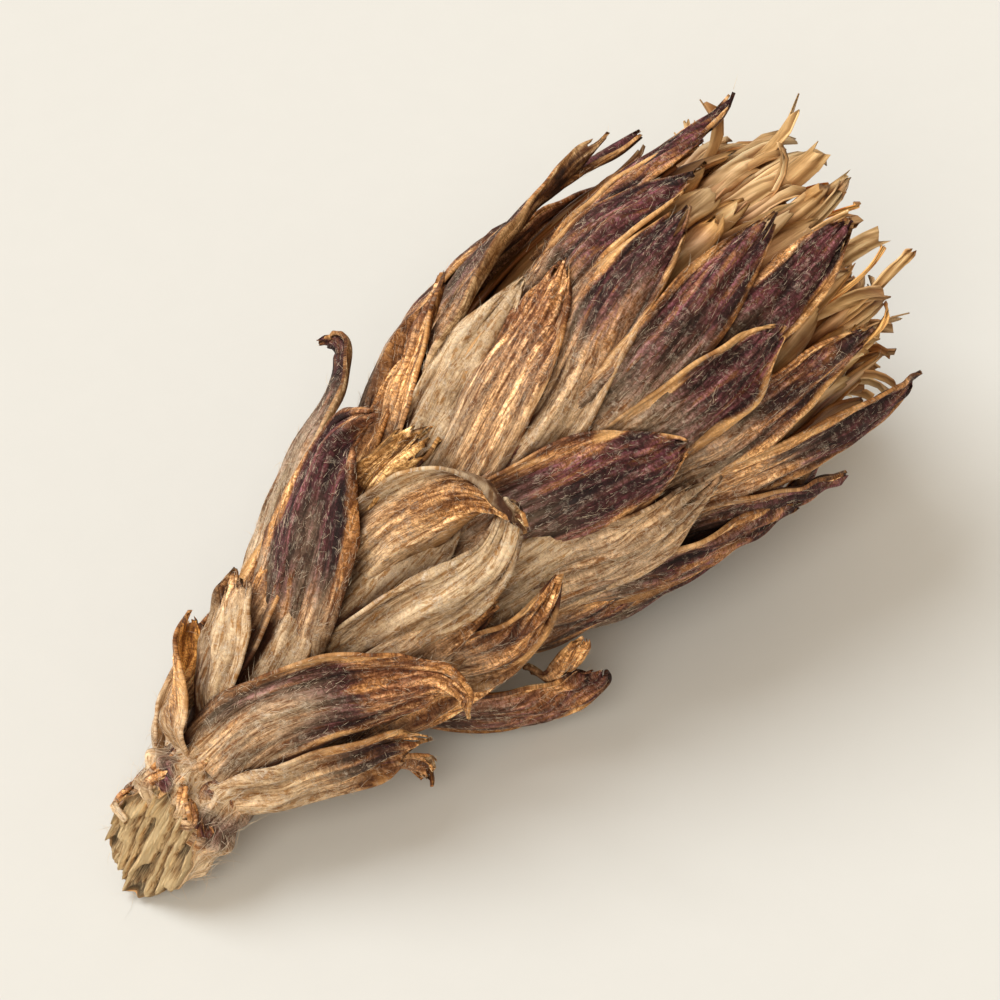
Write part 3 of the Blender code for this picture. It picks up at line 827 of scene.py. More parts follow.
# %% Leaves of the stalk
STALK_LEAVES = [
    Leaf([(2.2, 18, 1.4), (3.5, 27, 2.0), (4.8, 41, 2.7), (5.75, 53, 3.1), (6.6, 61, 3.5),
          (7.2, 66, 3.8), (7.4, 74, 4.1), (7.3, 85, 4.2)], 1.26, 0.95, purple=1.0, dusk=0.2,
         dusk_end=0.42, ochre=0.5, wool=1.0, reach=0.2, margin=0.9, roll=0.0, top_roll=0.35,
         base=0.72, taper=0.9),
    Leaf([(2.2, -42, 1.4), (3.1, -33, 1.95), (4.0, -35, 2.45), (5.0, -50, 3.0)], 0.95, 1.2,
         purple=0.2, dusk=0.7, ochre=0.8, wool=0.9, reach=0.4, jag=0.15, crumple=0.06, twist=115,
         roll=0.0, top_roll=0.0, taper=2.2),
    Leaf([(2.0, 62, 1.4), (3.3, 73, 2.0), (4.45, 79, 2.6), (5.6, 85, 3.1), (6.45, 88, 3.5)], 0.8,
         purple=0.6, dusk=0.5, dusk_end=0.8, ochre=0.7, wool=0.9, jag=0.35, crumple=0.12, roll=0.4,
         taper=2.4, margin=0.9, reach=0.5),
    Leaf([(2.0, -108, 1.45), (3.4, -106, 2.0), (5.0, -104, 2.7), (6.8, -102, 3.4)], 0.95, wool=0.8),
    Leaf([(3.0, -13, 1.45), (4.3, -18, 2.2), (5.4, -26, 2.8), (6.2, -34, 3.1)], 0.75, purple=0.0,
         ochre=0.5, wool=1.0, reach=0.85, jag=0.4, crumple=0.12, taper=3.0),
    Leaf([(4.9, -1, 1.45), (5.85, -5, 2.1), (6.9, -7, 3.1), (8.2, -15, 3.8), (9.5, -20, 4.25),
          (10.05, -15, 4.6), (10.4, -9, 4.8)], 1.35, 0.75, purple=1.0, dusk=0.27, dusk_end=0.84,
         wool=1.0, reach=0.24, margin=0.3, roll=0.0, top_roll=0.0, taper=0.8, base=0.75, twist=-15),
    Leaf([(4.8, -46, 1.45), (6.0, -46, 2.2), (7.5, -47, 3.0), (9.1, -50, 3.7), (10.9, -56, 4.2),
          (11.8, -58, 4.8), (12.0, -60, 5.25), (11.7, -61, 5.6)], 1.0, purple=0.8, ochre=0.5,
         wool=0.8, reach=0.5, taper=1.9, margin=0.5),
    Leaf([(4.2, -153, 1.45), (5.8, -161, 2.1), (7.5, -163, 2.6), (9.4, -159, 3.2)], 0.75),
    Leaf([(4.2, 152, 1.45), (5.6, 154, 2.0), (7.2, 158, 2.6), (8.8, 153, 3.15)], 0.75, ochre=0.6),
    Leaf([(5.4, 46, 1.45), (6.5, 43.5, 2.1), (7.6, 43.5, 2.9), (8.8, 46, 3.75), (9.8, 45, 4.3),
          (10.7, 38, 4.8), (10.9, 33, 5.0)], 0.85, purple=0.0, ochre=0.3, wool=1.0, reach=1.4,
         margin=0.3, roll=0.3, top_roll=0.5, taper=1.3, base=0.85),
    Leaf([(6.2, -1, 1.4), (7.6, 3.6, 2.3), (8.7, 10.7, 3.2), (9.6, 17.8, 3.9), (10.3, 24, 4.4),
          (10.65, 31, 4.9), (10.67, 37, 5.2), (10.6, 43.5, 5.2)], 1.0, 0.8, purple=0.0, ochre=0.85,
         wool=0.8, roll=-0.3, top_roll=0.6, margin=1.0, taper=0.85, base=0.8, rim_wool=1.0),
    Leaf([(6.2, 84, 1.5), (7.4, 82, 2.2), (8.7, 78, 3.5), (9.85, 69.4, 4.25), (10.8, 59, 4.9)],
         0.85, purple=0.35, dusk=0.35, dusk_end=0.75, ochre=0.55, wool=0.85, margin=1.0, roll=0.5,
         top_roll=0.5, taper=1.6, base=0.85),
    Leaf([(6.0, 119, 1.45), (7.2, 118, 2.6), (8.5, 118, 3.9), (9.7, 116, 4.6), (10.6, 112, 4.9),
          (11.0, 106, 4.9)], 1.0, 0.9, purple=0.6, dusk=0.2, ochre=0.2, wool=0.1, roll=0.3,
         margin=0.3, top_roll=0.3, twist=45),
    Leaf([(6.2, -69, 1.5), (7.8, -69, 2.35), (9.5, -73, 3.6), (11.2, -76, 4.45)], 0.95, purple=0.7),
    Leaf([(5.6, -117, 1.45), (6.8, -116, 2.2), (8.2, -116, 2.95), (10.0, -117, 3.85),
          (11.8, -118, 4.6)], 0.95, purple=0.6, ochre=0.5),
]
AMBER_LEAF = 1
SEED_STEP = 20
for number, leaf in enumerate(STALK_LEAVES):
    node = f"scale_leaf_{number + 1:02d}"
    inside = AMBER_INSIDE if number == AMBER_LEAF else LEAF_INSIDE
    seed = SEED_STEP * number + 1
    leaf_piece(f"{node}_fine", [leaf], seed, node, inside=inside)
print("leaves of the stalk:", len(STALK_LEAVES))

# %% [markdown]
# Small pale leaves lie under the large ones and close the gaps between them. One is torn, and its
# golden fibres show.

# %% Leaves under the large ones
UNDER_SEED = 300
UNDER_GRID = (19, 41)
UNDER_LEAVES = [
    Leaf([(2.9, -26, 1.3), (4.8, -26, 2.0), (7.0, -26, 2.8), (9.4, -30, 3.5)], 0.9, purple=0.3,
         ochre=0.6, wool=0.9),
    Leaf([(3.2, 14, 1.3), (5.0, 6, 1.85), (6.6, -4, 2.35), (8.0, -10, 2.8)], 0.85, purple=0.0,
         ochre=0.5, wool=0.9, reach=1.0),
    Leaf([(3.8, 62, 1.4), (5.5, 64, 2.1), (7.6, 64, 2.9), (9.6, 62, 3.6)], 0.95, purple=0.2,
         ochre=0.4, wool=1.0, reach=0.8),
    Leaf([(5.4, 24, 1.5), (7.0, 26, 2.2), (9.0, 26, 2.9), (10.8, 24, 3.5)], 0.95, purple=0.0,
         ochre=0.2, wool=1.0, reach=1.2),
    Leaf([(3.4, 112, 1.4), (5.2, 108, 2.1), (7.2, 104, 2.8), (9.0, 100, 3.4)], 0.9, purple=0.2,
         ochre=0.7, wool=0.9),
    Leaf([(4.4, -60, 1.4), (6.4, -58, 2.2), (8.6, -56, 3.0), (10.6, -56, 3.7)], 0.9, ochre=0.4,
         wool=0.7),
    Leaf([(7.0, -30, 1.9), (9.0, -30, 2.8), (11.0, -33, 3.5), (12.6, -38, 4.0)], 0.7, purple=0.2,
         ochre=0.9),
    Leaf([(7.6, 62, 2.0), (9.6, 62, 3.0), (11.6, 62, 3.7), (13.2, 62, 4.0)], 0.9, purple=0.3,
         ochre=0.3, wool=1.0, reach=1.0),
    Leaf([(7.8, 104, 2.0), (9.8, 104, 3.1), (12.0, 104, 3.9), (14.0, 104, 4.2)], 0.9, purple=0.6,
         ochre=0.4, wool=0.7),
    Leaf([(8.2, 32, 2.2), (10.4, 32, 3.1), (12.6, 32, 3.7), (14.6, 32, 4.0)], 0.9, purple=0.6,
         ochre=0.3, wool=0.8),
    Leaf([(5.0, 88, 2.8), (5.8, 104, 3.1), (6.3, 114, 3.4), (6.9, 116, 3.6)], 0.42, purple=0.2,
         ochre=0.5, wool=0.2, jag=0.5, crumple=0.12, curl=120, curl_from=0.5, margin=0.3),
    Leaf([(9.6, 114, 3.9), (10.2, 108, 4.2), (10.6, 97, 4.35), (11.0, 90, 4.4)], 0.36, purple=0.0,
         ochre=0.9, wool=0.3, jag=0.4, crumple=0.12, margin=0.8, twist=40),
]
leaf_piece("under_leaves", UNDER_LEAVES, UNDER_SEED, None, UNDER_GRID)
print("leaves under the large ones:", len(UNDER_LEAVES))

# %% Torn leaf
TORN_SEED = 366
TORN_GRID = (23, 41)
TORN_LEAF = Leaf([(8.4, -6, 2.9), (9.4, -5, 3.5), (10.4, -1, 3.9), (11.5, 3, 4.0)], 0.6, 0.9,
                 purple=0.0, ochre=1.0, wool=0.0, jag=0.5, crumple=0.22, taper=3.5, base=0.8,
                 roll=0.5)
leaf_piece("torn_golden_leaf", [TORN_LEAF], TORN_SEED, None, TORN_GRID, GOLDEN_SCRAP)
STALK_SHEETS = len(ALL_SHEETS)
print("sheets on the stalk:", STALK_SHEETS)

# %% [markdown]
# ### Scale leaves of the head
#
# Seventeen leaves show from the front. Most are dusky purple above a paler base, with a straw
# margin. The rest of the head is finished by the same seeded rule as the solids.

# %% Leaves of the head that show
HEAD_SEED = 400
HEAD_LEAVES = [
    Leaf([(8.6, 14, 1.9), (10.4, 14, 2.95), (13.0, 6, 4.2), (14.8, 0, 4.5), (16.2, -7, 4.7)], 1.15,
         purple=0.0, wool=0.8, reach=0.55, margin=0.7, taper=2.0),
    Leaf([(8.5, -24, 2.0), (10.2, -24, 2.95), (12.3, -30, 4.0), (14.7, -44, 4.8)], 0.8,
         purple=0.15, ochre=0.6, reach=0.5, roll=0.5, top_roll=0.5, taper=2.2, crumple=0.08),
    Leaf([(8.8, -4, 1.95), (10.6, -6, 3.0), (12.2, -7, 3.9), (13.6, -9, 4.4), (15.2, -12, 4.7)],
         0.85, purple=0.0, ochre=0.3, wool=1.0, reach=1.6, margin=0.3, twist=-30),
    Leaf([(8.8, 48, 1.9), (10.2, 46, 2.8), (12.5, 50, 4.3), (14.2, 54, 4.75), (15.4, 56, 5.0)],
         1.55, 0.8, purple=0.85, dusk=0.12, ochre=0.3, wool=0.4, reach=0.35, margin=0.85, roll=0.1,
         curl=35, curl_from=0.9, taper=1.7),
    Leaf([(9.0, 78, 2.2), (11.3, 75, 3.6), (13.2, 75, 4.5), (15.7, 71, 4.9)], 1.0, purple=0.3,
         wool=0.65, reach=1.1, jag=0.2, taper=3.2),
    Leaf([(8.5, 92, 2.0), (10.6, 86, 3.3), (13.7, 95, 4.5), (16.0, 103, 4.8), (17.9, 110, 5.0)],
         0.95, purple=0.7, ochre=0.6, wool=0.7, reach=0.4),
    Leaf([(11.5, 93, 2.8), (15.2, 93, 4.3), (17.8, 108, 4.85), (19.6, 116, 5.1)], 0.75,
         purple=0.85, ochre=0.5, wool=0.5),
    Leaf([(12.0, 86, 2.9), (15.4, 84, 4.25), (18.6, 91, 4.75), (21.0, 98, 4.7), (22.4, 101, 4.4)],
         0.8, purple=0.85, dusk=0.4, ochre=0.7, wool=0.35, cleft=0.1, taper=2.2),
    Leaf([(12.0, 64, 2.9), (15.7, 66, 4.4), (18.2, 66, 4.75), (21.2, 67, 4.6)], 0.85, purple=0.6,
         ochre=0.45, margin=0.8, taper=3.6),
    Leaf([(10.9, 48, 2.7), (14.4, 51.5, 4.2), (16.85, 51, 4.8), (19.05, 48, 4.9)], 1.0,
         purple=0.95, ochre=0.5, wool=0.7, margin=1.0, top_roll=0.3, taper=4.0),
    Leaf([(13.0, 44, 2.9), (16.5, 45, 4.0), (18.5, 44, 4.5), (20.1, 42, 4.45), (22.3, 37, 4.0)],
         0.85, purple=1.0, dusk=0.4, ochre=0.4, wool=0.3, taper=4.5),
    Leaf([(10.5, 38, 2.6), (13.9, 36, 4.1), (17.1, 31, 4.75), (20.7, 22, 4.5)], 0.95, purple=0.85,
         dusk=0.4, ochre=0.5, wool=0.7, reach=0.5, margin=0.8, taper=4.0),
    Leaf([(10.0, 28, 2.5), (13.0, 26, 3.9), (16.0, 13, 4.6), (19.2, 5, 4.7)], 1.0, purple=0.85,
         dusk=0.62, wool=0.9, reach=0.6, margin=0.9, taper=4.5),
    Leaf([(11.0, -4, 2.7), (14.7, -7, 4.1), (17.4, -9, 4.6), (19.9, -3, 4.6)], 0.85, purple=0.85,
         dusk=0.5, ochre=0.4, reach=0.5, margin=1.0, taper=4.5),
    Leaf([(9.5, -32, 2.3), (13.2, -26, 4.1), (16.8, -38, 4.7), (19.9, -46, 4.9)], 0.85, purple=0.6,
         dusk=0.35, ochre=0.7, wool=0.4, twist=35, cleft=0.06, roll=0.6, taper=2.2),
    Leaf([(11.0, -16, 2.7), (14.6, -12, 3.8), (18.0, -18, 4.45), (21.4, -20, 4.2)], 0.7,
         purple=0.7, dusk=0.4, ochre=0.5, wool=0.5, margin=0.9),
    Leaf([(13.0, -32, 2.9), (17.0, -27, 4.0), (20.1, -24, 4.3), (22.5, -26, 4.1)], 0.65,
         purple=0.9, dusk=0.4, ochre=0.4, wool=0.2, curl=25, taper=2.2),
]
for number, leaf in enumerate(HEAD_LEAVES):
    seed = HEAD_SEED + SEED_STEP * number
    leaf_piece(f"head_leaf_{number + 1:02d}", [leaf], seed, "involucre")
print("leaves of the head that show:", len(HEAD_LEAVES))

# %% Leaves of the head's other side
HIDDEN_SEED = 11
OUTER_SEED = 800
MIDDLE_SEED = 900
HIDDEN_GRID = (21, 41)
OUTER_BEARINGS = (128, 154, 183, 212, 240, 268, 294)
MIDDLE_BEARINGS = (118, 143, 168, 197, 226, 254, 282, 308)
SWAY = 4
LONGER = 0.8
draw = Random(HIDDEN_SEED)
outer = []
middle = []
for bearing in OUTER_BEARINGS:
    b = bearing + draw.uniform(-SWAY, SWAY)
    end = 17.0 + draw.uniform(-LONGER, LONGER)
    route = [(8.6, b, 1.9), (10.6, b, 2.95), (13.0, b + 2, 4.2), (15.4, b + 2, 4.65), (end, b, 4.75)]
    outer.append(Leaf(route, 1.15, purple=0.8 + 0.2 * sin(bearing), ochre=0.4, wool=0.7, margin=0.7))
for bearing in MIDDLE_BEARINGS:
    b = bearing + draw.uniform(-SWAY, SWAY)
    end = 20.4 + draw.uniform(-LONGER, LONGER)
    route = [(11.0, b, 2.7), (14.4, b, 4.1), (17.6, b, 4.6), (end, b, 4.35)]
    middle.append(Leaf(route, 0.9, purple=0.9 + 0.1 * sin(bearing), ochre=0.4, wool=0.4, margin=0.8))
leaf_piece("head_leaves_outer", outer, OUTER_SEED, "involucre", HIDDEN_GRID)
leaf_piece("head_leaves_middle", middle, MIDDLE_SEED, "involucre", HIDDEN_GRID)
print("leaves of the other side:", len(outer) + len(middle))

# %% [markdown]
# ### Innermost leaves
#
# Pale straw leaves stand in two rings round the florets. They are narrow and flat, flushed with
# pink above, and their ends are torn and yellow. They and the florets share one papery material,
# which reads the tint in its own way: a pink flush, brown ends, and gold rather than straw.

# %% Papery material
FLUSH = (0.50, 0.20, 0.19, 1)
# painted shade for covered places on the straps
PAPERY_HOLLOW_SHADE = (0.42, 0.22, 0.09, 1)


def papery_strap():
    """Lengthwise-veined golden straw, flushed pink, brown at withered ends; shade painted on folds and
    hollows.
    """
    material, tree, shader = new_material("papery_strap", 0.5)
    flushed, _, withered, golden = tint_zones(tree)
    streaks = place_group(tree, STREAKS, Grain=carried(tree, "grain", "Vector"), Across=12.0, Along=0.6)
    colour = blend_colours(tree, golden, PALE_GOLD, GOLD)
    colour = blend_colours(tree, times(tree, flushed, 0.7), colour, FLUSH)
    colour = blend_colours(tree, times(tree, streaks["Fine"], 0.28), colour, OCHRE)
    colour = blend_colours(tree, withered, colour, BROWN)
    # Painted light on the folds' ridges and painted shade in their troughs
    folds = scaled(tree, carried(tree, "relief", "Fac"), 0.5, 1.3)
    shade = times(tree, scaled(tree, streaks["Broad"], 0.8, 1.2), folds)
    colour = multiply_colours(tree, colour, warm_shade(tree, shade))
    # Painted shade where neighbours cover the strap
    hollow_shaded = multiply_colours(tree, colour, PAPERY_HOLLOW_SHADE)
    colour = blend_colours(tree, carried(tree, "hollow", "Fac"), colour, hollow_shaded)
    tree.links.new(colour, shader.inputs["Base Color"])
    add_bump(tree, shader, 0.7, 0.04, streaks["Fine"])
    return material


PAPERY_STRAP = papery_strap()
print("material:", PAPERY_STRAP.name)

# %% Two rings of them
INNER_SEED = 1000
INNER_GRID = (9, 31)
INNER_ROWS = (  # leaves, radius, half width, shortest and longest tip
    (25, 3.95, 0.52, 20.4, 21.8),
    (25, 3.55, 0.44, 21.6, 22.9),
)
inner = []
for count, radius, width, shortest, longest in INNER_ROWS:
    for number in range(count):
        b = 360 * number / count + draw.uniform(-5, 5)
        tip = draw.uniform(shortest, longest) - 0.8 * max(0.0, cos(radians(b - 15)))
        lean = draw.uniform(-5, 5)
        route = [(12.8, b, 2.9), (15.0, b, radius - 0.35), (18.4, b, radius), (tip, b + lean, radius - 0.1)]
        inner.append(Leaf(
            route, width * draw.uniform(0.85, 1.15), 0.4, purple=draw.uniform(0.1, 0.7), dusk=0.6,
            dusk_end=0.93, ochre=draw.uniform(0.0, 0.7), wool=0.0, margin=0.0, roll=0.3,
            jag=draw.uniform(0.04, 0.14), taper=draw.uniform(4.0, 8.0), base=0.9,
            twist=draw.uniform(-15, 15), curl=draw.uniform(-40, 40)))
HEAD_SHEETS = len(ALL_SHEETS)
leaf_piece("head_leaves_inner", inner, INNER_SEED, "involucre", INNER_GRID,
           PAPERY_STRAP, PAPERY_STRAP)
print("innermost leaves:", len(inner))

# %% [markdown]
# ### Painted shade between the leaves
#
# Where one leaf lies over another, shade is painted into its colour, so those places look deeper
# than the light alone makes them. Short rays from every point of a leaf find the places that its
# neighbours cover, and an attribute keeps the share of them for the painted shade.

# %% Painted shade in hollows
HOLLOW_REACH = 1.7
HOLLOW_START = 0.09
HOLLOW_LEANS = ((0.0, 0.0), (0.9, 0.0), (-0.45, 0.78), (-0.45, -0.78), (1.8, 1.0), (-1.8, 1.0), (0.0, -2.0))
FAR_LOSS = 0.6
HOLLOW_GAIN = 1.8
HOLLOW_IGNORED = 0.10


def search_tree(sheets):
    """All the sheets in one search tree, to tell what lies under another sheet."""
    corners, faces = [], []
    for points in sheets:
        rows, columns = points.shape[:2]
        start = len(corners)
        corners.extend(map(tuple, points.reshape(-1, 3)))
        for row in range(rows - 1):
            for column in range(columns - 1):
                a = start + row * columns + column
                faces.append((a, a + 1, a + 1 + columns, a + columns))
    return BVHTree.FromPolygons(corners, faces)


def mark_hollows(objects, tree):
    """Writes the painted shade: the share of rays that meet a neighbour, weighted by nearness."""
    for obj in objects:
        shares = []
        for vert in obj.data.vertices:
            out = vert.normal
            start = vert.co / MM + HOLLOW_START * out
            side = out.orthogonal().normalized()
            other = out.cross(side)
            hidden = 0.0
            for lean, swing in HOLLOW_LEANS:
                distance = tree.ray_cast(start, out + lean * side + swing * other, HOLLOW_REACH)[3]
                hidden += 0.0 if distance is None else 1 - FAR_LOSS * distance / HOLLOW_REACH
            share = HOLLOW_GAIN * hidden / len(HOLLOW_LEANS) - HOLLOW_IGNORED
            shares.append(max(0.0, min(1.0, share)))
        obj.data.attributes.new("hollow", "FLOAT", "POINT").data.foreach_set("value", shares)


COVER = search_tree([points for points, _ in ALL_SHEETS])
mark_hollows(LEAF_OBJECTS, COVER)
print("pieces with hollows:", len(LEAF_OBJECTS))

# %% [markdown]
# ## Stalk
#
# The stalk is one grid wrapped round the axis, from the middle of the cut face, over its rim and
# along the bark to the head. The cut is oblique, so the lengthwise plates of the pith stand on it
# as broken ridges with deep gaps. The bark is lumpy and woolly where old leaves sat.

# %% Cut face of the stalk
CUT_SLANT = 0.8
CUT_SLANT_BEARING = 10.0
CUT_SLANT_REACH = 2.6
PLATE_PITCH = 0.34
PITH_DEPTH = 0.5


def torn_plates(radius, round_x, round_y):
    """Height of the pith's broken plates in mm, and the distances across and down the slant."""
    slope = np.radians(CUT_SLANT_BEARING)
    down = radius * (round_x * np.cos(slope) + round_y * np.sin(slope))
    across = radius * (-round_x * np.sin(slope) + round_y * np.cos(slope))
    phase = across / PLATE_PITCH + 0.8 * waves(down * 0.6, across * 0.7, 3)
    plate = (0.5 + 0.5 * np.cos(2 * pi * phase)) ** 0.9
    strength = (0.5 + 0.6 * waves(down * 0.9, across * 1.4, 4)).clip(0.3, 1)
    fibres = 0.035 * waves(across * 5, down * 1.2, 5) + 0.02 * waves(across * 9, down * 4, 15)
    return PITH_DEPTH * strength * (0.5 - plate) + fibres, across, down


# %% Bark of the stalk
COLLAR_LUMPS = 0.2
SMALL_LUMPS = 0.1
BARK_FOLDS = 0.04
BARK_GRAIN = 0.02
COLLAR_END = (2.6, 3.6)


def bark_swell(station, bearing, round_x, round_y):
    """Lumps on the collar and small folds all along the bark, in mm."""
    lumps = smooth(0.6, 1.1, station) * (1 - smooth(2.6, 4.0, station))
    swell = COLLAR_LUMPS * lumps * waves(round_x * 0.9 + station * 0.7, round_y * 0.9, 6)
    swell = swell + SMALL_LUMPS * lumps * waves(round_x * 2.2 + station, round_y * 2.2, 16)
    swell = swell + BARK_FOLDS * waves(round_x * 3.0 + 0.4 * station, round_y * 3.0, 7)
    return swell + BARK_GRAIN * waves(bearing / 12, station, 8)


def stalk_tint(cut, bark, rim, torn, station, round_x, round_y):
    """Purple and wool on the bark; on the cut, the wool channel holds the pith's height."""
    patch = waves(round_x * 0.9 + station * 0.4, round_y * 0.9, 10)
    collar = 1 - smooth(*COLLAR_END, station)
    purple = bark * smooth(-0.5, 0.4, patch) * collar
    wool = bark * (0.65 - 0.7 * patch * collar)
    tint = np.stack(np.broadcast_arrays(purple, wool, rim + 0 * patch, 0.45 + 0.4 * patch), -1)
    depth = np.clip(0.5 - 1.25 * torn / PITH_DEPTH, 0, 1)
    tint[..., 1] = np.where(cut > 0.5, depth, tint[..., 1])
    return tint.clip(0, 1)


# %% Stalk form
STALK_PROFILE = [  # radius and station, from the middle of the cut over its rim to the head
    (0.0, 0.45), (0.5, 0.43), (0.85, 0.42), (1.04, 0.45), (1.1, 0.56), (1.17, 0.85), (1.27, 1.5),
    (1.22, 2.2), (1.14, 3.0), (1.3, 4.4), (1.6, 6.4), (1.9, 7.6), (0.0, 7.8),
]
RIM_AT = 3.4
CUT_ROWS = 60
BARK_ROWS = 110
STALK_COLUMNS = 180
RIM_SWELL = 0.04
RIM_NOTCH = 0.14


def stalk_points():
    """The stalk's points in millimetres, its tint and its grain."""
    last = len(STALK_PROFILE) - 1
    cut_rows = np.linspace(0, RIM_AT, CUT_ROWS, endpoint=False)
    rows = np.concatenate([cut_rows, np.linspace(RIM_AT, last, BARK_ROWS)])
    profile = through([(r, s, 0) for r, s in STALK_PROFILE], rows / last)
    radius = profile[:, 0:1].clip(0)
    station = profile[:, 1:2]
    bearing = np.linspace(0, 360, STALK_COLUMNS)[None, :]
    around = np.cos(np.radians(bearing)), np.sin(np.radians(bearing))
    cut = 1 - smooth(RIM_AT - 0.5, RIM_AT + 0.5, rows)[:, None]
    bark = 1 - cut
    plates, across, down = torn_plates(radius, *around)
    torn = cut * plates
    fade = np.clip(1 - (station - 0.45) / CUT_SLANT_REACH, 0, 1) ** 1.5
    rim = np.exp(-(((rows[:, None] - RIM_AT - 0.3) / 0.35) ** 2))
    notch = RIM_NOTCH * (cut + rim).clip(0, 1) * waves(bearing / 34, 0, 9) * smooth(0.7, 1.1, radius)
    slant = CUT_SLANT * fade * np.cos(np.radians(bearing - CUT_SLANT_BEARING)) * radius
    swell = bark_swell(station, bearing, *around)
    swollen = radius + bark * swell * smooth(0.0, 1.0, radius) + RIM_SWELL * rim
    points = on_bud(station + slant + torn + notch, bearing + 0 * station, swollen)
    points[..., 2] = points[..., 2].clip(FLOOR_GAP / 2)
    points[:, -1] = points[:, 0]
    relief = 0.5 + 0.5 * waves(bearing / 8, station * 0.3, 18)
    grain_across = across * cut + bark * radius * np.radians(bearing)
    grain = np.stack(np.broadcast_arrays(grain_across, down * cut + station * bark, relief), -1)
    return points, stalk_tint(cut, bark, rim, torn, station, *around), grain


# %% [markdown]
# The pith is pale straw at the tops of its broken plates and brown in the gaps, darkened there by
# painted shade; its height decides both. The same height reaches the material through the tint.

# %% Torn pith material
PITH = (1.0, 0.71, 0.36, 1)
PITH_TOP = (1.0, 0.83, 0.52, 1)
PITH_SIDE = (0.50, 0.24, 0.07, 1)
# brown with painted shade, for the bottoms of the gaps
PITH_GAP = (0.07, 0.024, 0.008, 1)


def torn_pith():
    """Pale straw fibres, brown at the rim, and brown with painted shade in the gaps."""
    material, tree, shader = new_material("torn_pith", 0.85)
    _, height, rim, _ = tint_zones(tree)
    streaks = place_group(tree, STREAKS, Grain=carried(tree, "grain", "Vector"), Across=10.0, Along=1.6)
    high = shifted(tree, height, streaks["Fine"], 0.4)
    colour = blend_colours(tree, remap(tree, high, 0.0, 0.5), PITH_GAP, PITH_SIDE)
    colour = blend_colours(tree, remap(tree, high, 0.34, 0.68), colour, PITH)
    colour = blend_colours(tree, times(tree, streaks["Fine"], 0.6), colour, PITH_TOP)
    colour = blend_colours(tree, times(tree, rim, 0.8), colour, OCHRE)
    tree.links.new(colour, shader.inputs["Base Color"])
    add_bump(tree, shader, 0.9, 0.08, streaks["Fine"])
    return material


TORN_PITH = torn_pith()
print("material:", TORN_PITH.name)

# %% Stalk piece
form = bmesh.new()
points, tint, grain = stalk_points()
COLLAR_SHEET = (points[CUT_ROWS:], tint[CUT_ROWS:])
add_sheet(form, points[:CUT_ROWS + 1], tint[:CUT_ROWS + 1], grain[:CUT_ROWS + 1])
for face in form.faces:
    face.material_index = 1
add_sheet(form, points[CUT_ROWS:], tint[CUT_ROWS:], grain[CUT_ROWS:])
close_up(form)
print("stalk faces:", len(form.faces))
finish_piece("stalk_fine", form, (LEAF_OUTSIDE, TORN_PITH), "stalk")

# %% [markdown]
# Where the lowest leaves were torn off, crumpled golden scraps of their bases stay on the collar.

# %% Scraps on the collar
SCRAP_SEED = 5
SCRAP_PIECE_SEED = 1200
SCRAP_GRID = (9, 15)
SCRAPS = 30
draw = Random(SCRAP_SEED)
scraps = []
for number in range(SCRAPS):
    b = 360 * number / SCRAPS + draw.uniform(-10, 10)
    s = draw.uniform(0.9, 2.4) if b < 120 else draw.uniform(0.4, 2.4)
    long = draw.uniform(0.4, 1.1)
    radius = 1.1 - 0.04 * s
    route = [(s, b, radius), (s + 0.4 * long, b + draw.uniform(-12, 12), radius + 0.04),
             (s + long, b + draw.uniform(-25, 25), radius + draw.uniform(0.0, 0.14))]
    scraps.append(Leaf(
        route, draw.uniform(0.08, 0.22), purple=draw.uniform(0.0, 0.8), ochre=draw.uniform(0.2, 0.8),
        wool=draw.uniform(0.2, 1.0), margin=0.3, jag=0.6, crumple=0.08, taper=3.0, base=0.9,
        twist=draw.uniform(-30, 30)))
leaf_piece("collar_scraps", scraps, SCRAP_PIECE_SEED, None, SCRAP_GRID)
print("scraps on the collar:", len(scraps))

# %% [markdown]
# ## Florets
#
# Inside the innermost leaves stand the ray florets: thin straps with lengthwise folds, twisted and
# curled at their torn ends. Inside them is a lower bundle of tubular florets, and the mouth between
# them is dark. A strap is a small leaf without ribs, so it shares the leaf's middle line.

# %% One strap
Strap = namedtuple("Strap", "route half_width cup twist curl curl_from seed flush gold brown")
STRAP_THICKNESS = 0.04
STRAP_GRID = (5, 17)
STRAP_FOLD = 0.06
STRAP_WAVE = 0.05
STRAP_TEAR = 0.07


def strap_points(strap):
    """The strap's points in millimetres, its tint and its grain."""
    seed = strap.seed
    u, v = grid_shares(*STRAP_GRID)
    middle = spine(strap)
    torn = STRAP_TEAR * (0.5 + 0.5 * waves(u * 0.9, 0, seed + 4))
    t = np.clip(v * (1 - torn * v**6), 0, 1)
    half = strap.half_width * (0.85 + 0.15 * waves(t * 3, u * 0.2, seed) - 0.2 * smooth(0.85, 1.0, t))
    angle = u * strap.cup
    lateral = half / strap.cup * np.sin(angle)
    fold = np.cos(pi * (2.2 * u + 0.6 * waves(t * 1.5, 0, seed + 3)))
    raised = half / strap.cup * (np.cos(angle) - 1) + STRAP_FOLD * fold
    raised = raised + STRAP_WAVE * waves(u * 0.5, t * 3, seed + 1)
    points = laid_on(middle, t, lateral, raised)
    points[..., 2] = points[..., 2].clip(FLOOR_GAP)
    flush = strap.flush * smooth(0.3, 0.6, t) * (1 - smooth(0.7, 0.9, t))
    brown = strap.brown * smooth(0.8, 1.0, t + 0.06 * waves(t * 3, u, seed + 2))
    tint = np.stack(np.broadcast_arrays(flush, 0 * t, brown, strap.gold + 0 * u), -1)
    grain = np.stack([half * u, t * path_length(middle[1]) + 0 * u, 0.5 + 0.5 * fold], -1)
    return points, tint.clip(0, 1), grain


# %% Straps as a piece
STRAP_SHEETS = []
STRAP_OBJECTS = []


